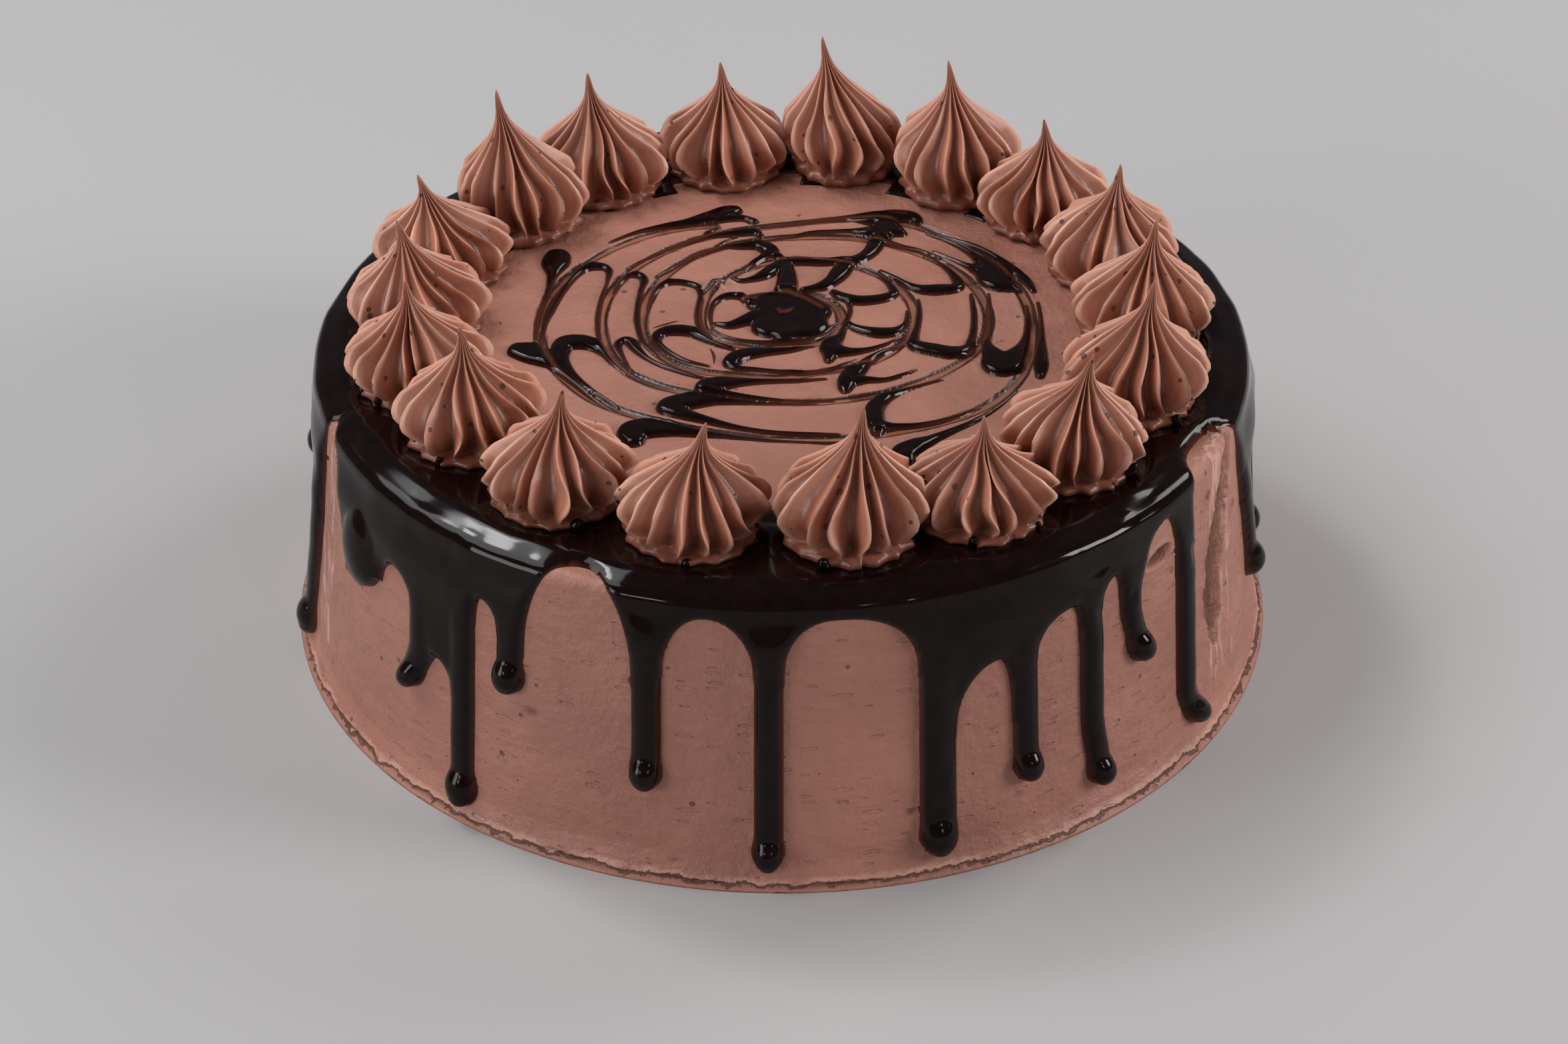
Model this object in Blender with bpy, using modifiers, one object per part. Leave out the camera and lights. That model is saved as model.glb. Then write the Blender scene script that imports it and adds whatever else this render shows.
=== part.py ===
"""A round chocolate drip cake: frosted body, ganache collar and a ring of piped peaks.

Metres, +Z up. The origin is the centre of the flat base. -Y is the front.
"""
import math

import bmesh
import bpy
from mathutils import Vector

MM = 0.001

# Body: a slightly tapered drum with a flared skirt and a rounded top edge
BASE_RADIUS = 115 * MM
SKIRT_RADIUS = 111.5 * MM
SKIRT_HEIGHT = 6 * MM
FLARE_RADIUS = 112.9 * MM
FLARE_HEIGHT = 2.5 * MM
SHOULDER_RADIUS = 106.3 * MM
TOP_HEIGHT = 69 * MM
EDGE_ROUND = 2.5 * MM
BODY_STEPS = 72
CLEARANCE = 0.3 * MM

# Piped peaks: eighteen star-tip swirls in a ring
CREST_COUNT = 16
FOOT_RADIUS = 14.0 * MM
TWIST_DEG = 10.0
TIP_LEAN = 2.5 * MM
NEIGHBOUR_MARGIN = 0.2 * MM
# Each peak: distance of its foot from the middle (mm), angle in degrees, height (mm), and how far
# its tip leans to the right (mm)
PEAKS = (
    (82.4, 256.9, 28.3, 3.3), (82.8, 280.0, 33.0, 2.3), (83.7, 299.3, 25.2, 0.7),
    (82.1, 318.9, 28.2, 3.7), (82.3, 339.5, 31.4, 3.6), (82.0, 1.1, 28.9, 2.2),
    (82.8, 21.1, 27.6, 1.4), (83.7, 41.0, 26.0, -0.6), (83.6, 59.1, 33.1, -2.7),
    (84.4, 79.3, 33.9, -5.8), (82.3, 99.9, 28.0, -1.0), (84.1, 121.5, 29.7, -3.2),
    (81.5, 139.7, 35.0, -5.5), (85.0, 157.9, 23.7, -6.3), (82.7, 177.1, 27.4, -4.3),
    (83.1, 195.1, 27.0, -2.2), (79.8, 212.6, 28.6, -1.4), (82.2, 234.6, 27.7, 2.3),
)
# Crest radius against the share of the peak's height, and how deep the grooves are there
PEAK_PROFILE = ((0.0, FOOT_RADIUS, 0.10), (0.22, 16.4 * MM, 0.15), (0.40, 14.6 * MM, 0.18),
                (0.58, 7.9 * MM, 0.24), (0.76, 2.6 * MM, 0.26))

# Ganache collar: thickness on the top, and of the run and the bulb of a drip
COLLAR_THICKNESS = 1.9 * MM
ARCH_THICKNESS = 1.5 * MM
RUN_THICKNESS = 2.6 * MM
BULB_THICKNESS = 3.2 * MM
COLLAR_INNER_RADIUS = 84.0 * MM
FOOT_POCKET_RADIUS = 16.0 * MM
HIGHEST_ARCH = 64 * MM
ARCH_LIP = 1.2 * MM
ARCH_STEEPNESS = 0.9
DEEPEST_ARCH = 18 * MM
EDGE_SLOPE = 0.6 * MM
# Each drip: angle in degrees, height of its end, half width, and top of the arch after it (mm)
DRIPS = (
    (-168.0, 3.2, 3.6, 64), (-147.3, 40.8, 4.0, 52.5), (-136.3, 25.3, 3.5, 36.5),
    (-128.3, 3.2, 3.2, 57), (-121.8, 36.5, 3.4, 64), (-105.0, 21.7, 3.3, 64),
    (-91.4, 4.2, 3.3, 64), (-72.6, 4.2, 4.1, 49), (-62.0, 17.0, 3.2, 55.5),
    (-52.6, 8.0, 3.1, 58.5), (-46.3, 34.0, 3.2, 64), (-36.0, 5.5, 3.8, 64),
    (-13.0, 20.0, 3.8, 58), (4.0, 9.0, 3.3, 60), (20.0, 34.0, 3.3, 63),
    (38.0, 6.0, 3.6, 50), (50.0, 27.0, 3.2, 60), (68.0, 13.0, 3.4, 64),
    (84.0, 38.0, 3.3, 55), (95.0, 5.0, 3.5, 62), (113.0, 24.0, 3.3, 50),
    (124.0, 9.0, 3.4, 64), (142.0, 33.0, 3.4, 60), (158.0, 14.0, 3.3, 57),
    (174.0, 29.0, 3.2, 61),
)
DRIP_COLUMNS = (-0.75, 0.0, 0.75)
ARCH_COLUMN_REACH = 0.92
WIDEST_COLUMN_DEG = 3.6

# Feathered web: spokes of ganache on the top, dragged round by one inward spiral
SPIRAL_START_DEG = 90.0
SPIRAL_STEP_DEG = 30.0
# Spiral radius in millimetres, one row for each turn, twelve steps to a turn
SPIRAL_TURNS = (
    (51.0, 56.3, 57.2, 55.5, 50.8, 45.2, 44.3, 48.5, 55.5, 57.5, 60.0, 60.3),
    (52.0, 48.6, 45.0, 41.0, 37.5, 31.0, 29.3, 32.0, 38.5, 46.8, 50.5, 49.5),
    (45.5, 42.0, 35.5, 31.5, 27.0, 20.0, 18.4, 18.6, 23.5, 29.0, 34.0, 36.2),
    (35.0, 28.5, 21.5, 16.8, 9.5, 5.9, 4.8, 5.2, 7.8, 11.8, 16.0, 19.5),
)
# Each spoke: radius of its outer end (mm), then its angle outside and in the three gaps inward
SPOKES = (
    (62.5, 28.0, 28.0, 28.0, 35.0), (65.0, 61.0, 62.0, 59.0, 64.0),
    (60.0, 101.0, 98.0, 96.0, 88.0), (66.0, 147.0, 144.0, 141.0, 136.0),
    (62.5, 188.0, 185.0, 184.0, 177.0), (57.0, 233.0, 230.0, 233.0, 224.0),
    (62.0, 298.0, 299.0, 303.0, 322.0), (61.5, 344.0, 345.0, 346.5, 359.0),
)
SPOKE_RADIUS = 2.1 * MM
SPOKE_END_RADIUS = 1.2 * MM
BLOB_RADIUS = 2.9 * MM
SPOKE_SINK = 0.8 * MM
SPOKE_DRAG_DEG = 15.0
STROKE_SHARES = (0.03, 0.2, 0.5, 0.8, 0.97)
SPIRAL_TUBE_RADIUS = 1.2 * MM
SPIRAL_SINK = 0.45 * MM
SPIRAL_POINTS_PER_TURN = 22
POOL_CENTRE = (1.5 * MM, 7.5 * MM)
POOL_RADIUS = 10.5 * MM
POOL_RISE = 1.3 * MM

COLLECTION_NAME = "chocolate_cake"
WELD_DISTANCE = 0.00001


def clear_scene():
    """Removes whatever the scene starts with."""
    for obj in list(bpy.data.objects):
        bpy.data.objects.remove(obj, do_unlink=True)


def new_collection(name):
    """Adds a collection under the scene's own."""
    collection = bpy.data.collections.new(name)
    bpy.context.scene.collection.children.link(collection)
    return collection


def principled(name, colour, roughness):
    """A Principled material with one colour."""
    material = bpy.data.materials.new(name)
    material.use_nodes = True
    shader = material.node_tree.nodes["Principled BSDF"]
    shader.inputs["Base Color"].default_value = (*colour, 1.0)
    shader.inputs["Roughness"].default_value = roughness
    shader.inputs["Metallic"].default_value = 0.0
    return material


def polar(radius, degrees, height):
    """A point from its radius, angle and height."""
    angle = math.radians(degrees)
    return Vector((radius * math.cos(angle), radius * math.sin(angle), height))


def object_from_bmesh(name, mesh_builder, material, collection):
    """Turns a bmesh into an object with outward faces, shaded smooth."""
    bmesh.ops.recalc_face_normals(mesh_builder, faces=mesh_builder.faces)
    mesh = bpy.data.meshes.new(name)
    mesh_builder.to_mesh(mesh)
    mesh_builder.free()
    mesh.materials.append(material)
    mesh.shade_smooth()
    obj = bpy.data.objects.new(name, mesh)
    collection.objects.link(obj)
    return obj


def bridge(mesh_builder, ring_a, ring_b):
    """Joins two closed rings of as many vertices with quads."""
    count = len(ring_a)
    for i in range(count):
        j = (i + 1) % count
        mesh_builder.faces.new((ring_a[i], ring_a[j], ring_b[j], ring_b[i]))


def body_side_radius(height):
    """Radius of the side at a height: the straight taper, or the flare of the skirt below it."""
    if height < SKIRT_HEIGHT:
        share = (SKIRT_HEIGHT - height) / (SKIRT_HEIGHT - FLARE_HEIGHT)
        return SKIRT_RADIUS + (FLARE_RADIUS - SKIRT_RADIUS) * share
    share = (height - SKIRT_HEIGHT) / (TOP_HEIGHT - EDGE_ROUND - SKIRT_HEIGHT)
    return SKIRT_RADIUS + (SHOULDER_RADIUS - SKIRT_RADIUS) * share


def rounded_edge(offset):
    """Three points round the top edge, offset outward: on the top, at 45 degrees, on the side."""
    centre_radius = SHOULDER_RADIUS - EDGE_ROUND
    centre_height = TOP_HEIGHT - EDGE_ROUND
    reach = EDGE_ROUND + offset
    return [(centre_radius + reach * math.cos(math.radians(a)),
             centre_height + reach * math.sin(math.radians(a))) for a in (90, 45, 0)]


def make_body(material):
    """The frosted drum, turned from its profile, with flat caps."""
    profile = rounded_edge(0.0)
    profile += [(SKIRT_RADIUS, SKIRT_HEIGHT), (FLARE_RADIUS, FLARE_HEIGHT), (BASE_RADIUS, 0.0)]
    mesh = bpy.data.meshes.new("body_profile")
    edges = [(i, i + 1) for i in range(len(profile) - 1)]
    mesh.from_pydata([(r, 0.0, z) for r, z in profile], edges, [])
    turned = bpy.data.objects.new("body_profile", mesh)
    parts.objects.link(turned)
    screw = turned.modifiers.new("turn", "SCREW")
    screw.steps = BODY_STEPS
    screw.render_steps = BODY_STEPS
    screw.use_merge_vertices = True
    screw.merge_threshold = WELD_DISTANCE
    body = mesh_copy(turned, "cake", material, parts)
    closed = bmesh.new()
    closed.from_mesh(body.data)
    bmesh.ops.holes_fill(closed, edges=closed.edges, sides=0)
    bmesh.ops.recalc_face_normals(closed, faces=closed.faces)
    closed.to_mesh(body.data)
    closed.free()
    return body


def mesh_copy(source, name, material, collection):
    """Makes a mesh object from an object's evaluated shape, welds it and removes the source."""
    graph = bpy.context.evaluated_depsgraph_get()
    mesh = bpy.data.meshes.new_from_object(source.evaluated_get(graph))
    welded = bmesh.new()
    welded.from_mesh(mesh)
    bmesh.ops.remove_doubles(welded, verts=welded.verts, dist=WELD_DISTANCE)
    welded.to_mesh(mesh)
    welded.free()
    mesh.name = name
    mesh.materials.clear()
    mesh.materials.append(material)
    copy = bpy.data.objects.new(name, mesh)
    copy.matrix_world = source.matrix_world
    collection.objects.link(copy)
    bpy.data.objects.remove(source, do_unlink=True)
    return copy


def spiral_radius(turned_deg):
    """Radius of the dragged spiral after turning so many degrees from its outer start."""
    table = [radius for turn in SPIRAL_TURNS for radius in turn]
    place = min(max(turned_deg / SPIRAL_STEP_DEG, 0.0), len(table) - 1.001)
    low = int(place)
    share = place - low
    before = table[max(low - 1, 0)]
    start, end = table[low], table[low + 1]
    after = table[min(low + 2, len(table) - 1)]
    slope_a = (end - before) / 2
    slope_b = (after - start) / 2
    curve_a = 2 * share ** 3 - 3 * share ** 2 + 1
    curve_b = share ** 3 - 2 * share ** 2 + share
    curve_c = share ** 3 - share ** 2
    return (curve_a * start + curve_b * slope_a + (1 - curve_a) * end + curve_c * slope_b) * MM


def stroke(name, points, radii, resolution, material):
    """A tapered round line of ganache: a poly curve with a bevel, made into a mesh."""
    curve = bpy.data.curves.new(name, "CURVE")
    curve.dimensions = "3D"
    curve.bevel_depth = 1.0
    curve.bevel_resolution = resolution
    curve.use_fill_caps = True
    spline = curve.splines.new("POLY")
    spline.points.add(len(points) - 1)
    for target, point, radius in zip(spline.points, points, radii):
        target.co = (*point, 1.0)
        target.radius = radius
    obj = bpy.data.objects.new(name, curve)
    cutters.objects.link(obj)
    line = mesh_copy(obj, name, material, cutters)
    line.hide_render = True
    line.display_type = "WIRE"
    return line


def spoke_strokes(index, spoke, material):
    """One spoke: a blob outside the spiral and a curved stroke in each gap between its turns."""
    end_radius, outer_deg, *gap_degs = spoke
    height = TOP_HEIGHT - SPOKE_SINK
    turned = (outer_deg - SPIRAL_START_DEG) % 360.0
    tracks = [spiral_radius(turned + 360.0 * turn) for turn in range(len(SPIRAL_TURNS))]
    blob_points = [polar(end_radius * MM, outer_deg - 1.0, height),
                   polar((end_radius * MM + tracks[0]) / 2, outer_deg, height),
                   polar(tracks[0], outer_deg + SPOKE_DRAG_DEG / 2, height)]
    stroke(f"blob_{index}", blob_points, (BLOB_RADIUS, BLOB_RADIUS, SPOKE_END_RADIUS), 1, material)
    for gap, degrees in enumerate(gap_degs):
        outer, inner = tracks[gap], tracks[gap + 1]
        points = []
        radii = []
        for share in STROKE_SHARES:
            bend = abs(2 * share - 1)
            drag = SPOKE_DRAG_DEG * bend ** 4
            points.append(polar(outer + (inner - outer) * share, degrees + drag, height))
            radii.append(SPOKE_RADIUS + (SPOKE_END_RADIUS - SPOKE_RADIUS) * bend ** 3)
        stroke(f"spoke_{index}_{gap}", points, radii, 1, material)


def make_web(body, material):
    """Draws the spiral, the spokes and the middle pool, and fuses them to the body's top."""
    turns = len(SPIRAL_TURNS)
    last_deg = turns * 360.0 - SPIRAL_STEP_DEG
    count = int(last_deg / 360.0 * SPIRAL_POINTS_PER_TURN)
    points = []
    for i in range(count + 1):
        turned = last_deg * i / count
        points.append(polar(spiral_radius(turned), SPIRAL_START_DEG + turned, TOP_HEIGHT - SPIRAL_SINK))
    stroke("spiral", points, [SPIRAL_TUBE_RADIUS] * len(points), 0, material)
    for index, spoke in enumerate(SPOKES):
        spoke_strokes(index, spoke, material)
    pool = bmesh.new()
    bmesh.ops.create_cone(pool, cap_ends=True, segments=16, depth=2 * POOL_RISE,
                          radius1=POOL_RADIUS * 1.15, radius2=POOL_RADIUS * 0.85)
    bmesh.ops.translate(pool, verts=pool.verts, vec=(*POOL_CENTRE, TOP_HEIGHT))
    object_from_bmesh("pool", pool, material, cutters)
    union = body.modifiers.new("web", "BOOLEAN")
    union.operation = "UNION"
    union.operand_type = "COLLECTION"
    union.collection = cutters
    union.solver = "EXACT"
    fused = mesh_copy(body, "cake_fused", body.data.materials[0], parts)
    for obj in list(cutters.objects):
        bpy.data.objects.remove(obj, do_unlink=True)
    fused.name = "cake"
    fused.data.shade_smooth()
    fused.data.set_sharp_from_angle(angle=math.radians(30))


def keep_in_sector(point, index):
    """Turns a point back where the peak presses flat against its neighbour."""
    here = PEAKS[index][1]
    after = PEAKS[(index + 1) % len(PEAKS)][1]
    before = PEAKS[index - 1][1]
    half_after = ((after - here) % 360.0) / 2
    half_before = ((here - before) % 360.0) / 2
    radius = math.hypot(point.x, point.y)
    margin = math.degrees(NEIGHBOUR_MARGIN / radius)
    offset = (math.degrees(math.atan2(point.y, point.x)) - here + 180.0) % 360.0 - 180.0
    offset = min(max(offset, margin - half_before), half_after - margin)
    return polar(radius, here + offset, point.z)


def make_peak(index, material):
    """One star-tip swirl: ridged rings that taper to a bent tip."""
    ring_radius, here, tall, lean_right = PEAKS[index]
    height = tall * MM
    foot = polar(ring_radius * MM, here, TOP_HEIGHT + CLEARANCE)
    lean = Vector((lean_right * MM, TIP_LEAN * math.sin(math.radians(here)), 0.0))
    swirl = bmesh.new()
    rings = []
    for share, radius, groove in PEAK_PROFILE:
        ring = []
        for i in range(2 * CREST_COUNT):
            reach = radius * (1.0 - groove * (i % 2))
            degrees = here + 180.0 / CREST_COUNT * i - TWIST_DEG * share
            point = foot + polar(reach, degrees, height * share) + lean * share ** 2
            ring.append(swirl.verts.new(keep_in_sector(point, index)))
        rings.append(ring)
    for lower, upper in zip(rings, rings[1:]):
        bridge(swirl, lower, upper)
    swirl.faces.new(rings[0])
    tip = swirl.verts.new(foot + lean + Vector((0.0, 0.0, height)))
    last = rings[-1]
    for i, vertex in enumerate(last):
        swirl.faces.new((vertex, last[(i + 1) % len(last)], tip))
    object_from_bmesh(f"piped_peak_{index + 1:02d}", swirl, material, parts)


def collar_inner_radius(degrees):
    """Inner edge of the collar, which curves round the feet of the peaks."""
    widest = COLLAR_INNER_RADIUS
    for ring_radius, here, _, _ in PEAKS:
        offset = math.radians((degrees - here + 180.0) % 360.0 - 180.0)
        across = ring_radius * MM * math.sin(offset)
        if abs(offset) < math.pi / 4 and abs(across) < FOOT_POCKET_RADIUS:
            pocket = math.sqrt(FOOT_POCKET_RADIUS ** 2 - across ** 2)
            widest = max(widest, ring_radius * MM * math.cos(offset) + pocket)
    return widest


def collar_section(degrees, end_height, lip, run, bulb):
    """One upright slice of the collar, from the peaks' feet over the edge to its lower end."""
    top_in, mid_in, side_in = rounded_edge(CLEARANCE)
    top_out, mid_out, side_out = rounded_edge(CLEARANCE + COLLAR_THICKNESS)
    inner = collar_inner_radius(degrees)
    bulb_height = end_height + lip
    run_height = (side_in[1] + bulb_height) / 2
    outline = [
        (inner, top_in[1]), (inner + EDGE_SLOPE, top_in[1] + 0.75 * COLLAR_THICKNESS),
        top_out, mid_out, side_out,
        (body_side_radius(run_height) + CLEARANCE + run, run_height),
        (body_side_radius(bulb_height) + CLEARANCE + bulb, bulb_height),
        (body_side_radius(end_height) + CLEARANCE, end_height),
        side_in, mid_in, top_in,
    ]
    return [polar(radius, degrees, height) for radius, height in outline]


def arch_columns(width):
    """Places across an arch from -1 to 1, closer together towards its sides."""
    count = max(4, math.ceil(width / WIDEST_COLUMN_DEG) + 1)
    return [ARCH_COLUMN_REACH * math.sin(math.pi * (i / (count - 1) - 0.5)) for i in range(count)]


def collar_sections():
    """All slices round the cake: three through each drip and four or more through each arch."""
    sections = []
    for index, (degrees, end, half_width, arch) in enumerate(DRIPS):
        next_degrees, _, next_half_width, _ = DRIPS[(index + 1) % len(DRIPS)]
        reach = math.degrees(half_width * MM / body_side_radius(end * MM))
        for across in DRIP_COLUMNS:
            round_end = half_width * (1.0 - math.sqrt(1.0 - across ** 2))
            share = 1.0 - 0.5 * across ** 2
            sections.append(collar_section(degrees + reach * across, (end + round_end) * MM,
                                           half_width * MM, RUN_THICKNESS * share, BULB_THICKNESS * share))
        next_reach = math.degrees(next_half_width * MM / SHOULDER_RADIUS)
        start = degrees + reach
        width = (next_degrees - next_reach - start) % 360.0
        fall = min(math.radians(width) * SHOULDER_RADIUS * ARCH_STEEPNESS, DEEPEST_ARCH)
        top = min(arch * MM, HIGHEST_ARCH)
        for across in arch_columns(width):
            lower = top - fall * (1.0 - math.sqrt(1.0 - across ** 2))
            sections.append(collar_section(start + width * (across + 1) / 2, lower,
                                           ARCH_LIP, ARCH_THICKNESS, ARCH_THICKNESS * 0.8))
    return sections


def make_collar(material):
    """The ganache collar: a closed loft through all its slices."""
    collar = bmesh.new()
    rings = [[collar.verts.new(point) for point in section] for section in collar_sections()]
    for index, ring in enumerate(rings):
        bridge(collar, ring, rings[(index + 1) % len(rings)])
    object_from_bmesh("ganache", collar, material, parts)


clear_scene()
parts = new_collection(COLLECTION_NAME)
cutters = new_collection("web_strokes")
frosting = principled("frosting", (0.33, 0.14, 0.10), 0.5)
ganache = principled("ganache", (0.012, 0.006, 0.005), 0.12)
make_web(make_body(frosting), ganache)
make_collar(ganache)
for peak_index in range(len(PEAKS)):
    make_peak(peak_index, principled(f"piped_frosting_{peak_index + 1:02d}", (0.29, 0.12, 0.085), 0.45))
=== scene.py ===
"""Looks of a round chocolate drip cake: frosting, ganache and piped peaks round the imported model.

Shapes are worked out in millimetres and made in metres, +Z up. -Y is the front.
"""
import functools
import math

import bpy
import numpy as np
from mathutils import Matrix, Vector


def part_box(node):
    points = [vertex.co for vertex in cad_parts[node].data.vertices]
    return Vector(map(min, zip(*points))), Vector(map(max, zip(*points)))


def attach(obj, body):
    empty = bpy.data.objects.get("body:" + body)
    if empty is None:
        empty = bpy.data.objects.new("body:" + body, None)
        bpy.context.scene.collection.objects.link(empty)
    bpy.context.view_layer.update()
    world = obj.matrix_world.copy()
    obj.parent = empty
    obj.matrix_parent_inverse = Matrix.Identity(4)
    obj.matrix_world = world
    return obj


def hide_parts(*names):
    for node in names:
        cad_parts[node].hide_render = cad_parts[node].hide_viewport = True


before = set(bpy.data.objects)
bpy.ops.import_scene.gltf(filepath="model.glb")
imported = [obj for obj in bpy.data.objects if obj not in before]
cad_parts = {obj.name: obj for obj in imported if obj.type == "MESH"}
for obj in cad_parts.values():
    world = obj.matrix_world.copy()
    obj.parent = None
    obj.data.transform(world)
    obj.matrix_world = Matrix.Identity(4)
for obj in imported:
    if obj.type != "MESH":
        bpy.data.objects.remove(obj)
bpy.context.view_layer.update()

MM = 0.001

# Body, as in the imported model: a tapered drum with a flared skirt and a rounded top edge
BASE_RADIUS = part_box("cake")[1].x / MM
PEAK_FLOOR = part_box("piped_peak_01")[0].z / MM
PEAK_RAISE = 0.3
TOP_HEIGHT = PEAK_FLOOR - PEAK_RAISE
SKIRT_RADIUS, SKIRT_HEIGHT = 111.5, 6.0
FLARE_RADIUS, FLARE_HEIGHT = 112.9, 2.5
SHOULDER_RADIUS = 106.3
EDGE_ROUND = 2.5
SIDE_TOP = TOP_HEIGHT - EDGE_ROUND
FLAT_RADIUS = SHOULDER_RADIUS - EDGE_ROUND
# The run up the side, round the edge and in over the top is one coordinate, up
EDGE_END = SIDE_TOP + EDGE_ROUND * math.pi / 2
CENTRE = EDGE_END + FLAT_RADIUS

# Spiral groove that was dragged through the web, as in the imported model: twelve radii to a turn
SPIRAL_START_DEG = 90.0
SPIRAL_STEP_DEG = 30.0
SPIRAL_TURNS = (
    (51.0, 56.3, 57.2, 55.5, 50.8, 45.2, 44.3, 48.5, 55.5, 57.5, 60.0, 60.3),
    (52.0, 48.6, 45.0, 41.0, 37.5, 31.0, 29.3, 32.0, 38.5, 46.8, 50.5, 49.5),
    (45.5, 42.0, 35.5, 31.5, 27.0, 20.0, 18.4, 18.6, 23.5, 29.0, 34.0, 36.2),
    (35.0, 28.5, 21.5, 16.8, 9.5, 5.9, 4.8, 5.2, 7.8, 11.8, 16.0, 19.5),
    (18.9, 18.4, 17.0),
)
SPIRAL_FIRST_DEG = 16.0
SPIRAL_LAST_DEG = 32.0
GROOVE_HALF_WIDTH = 1.3
GROOVE_DEPTH = 0.28
# Where the spokes cross the groove, after which its smear is darkest
SPOKE_DEGS = (28.0, 61.0, 99.0, 145.0, 186.0, 231.0, 299.0, 345.0)
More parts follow.
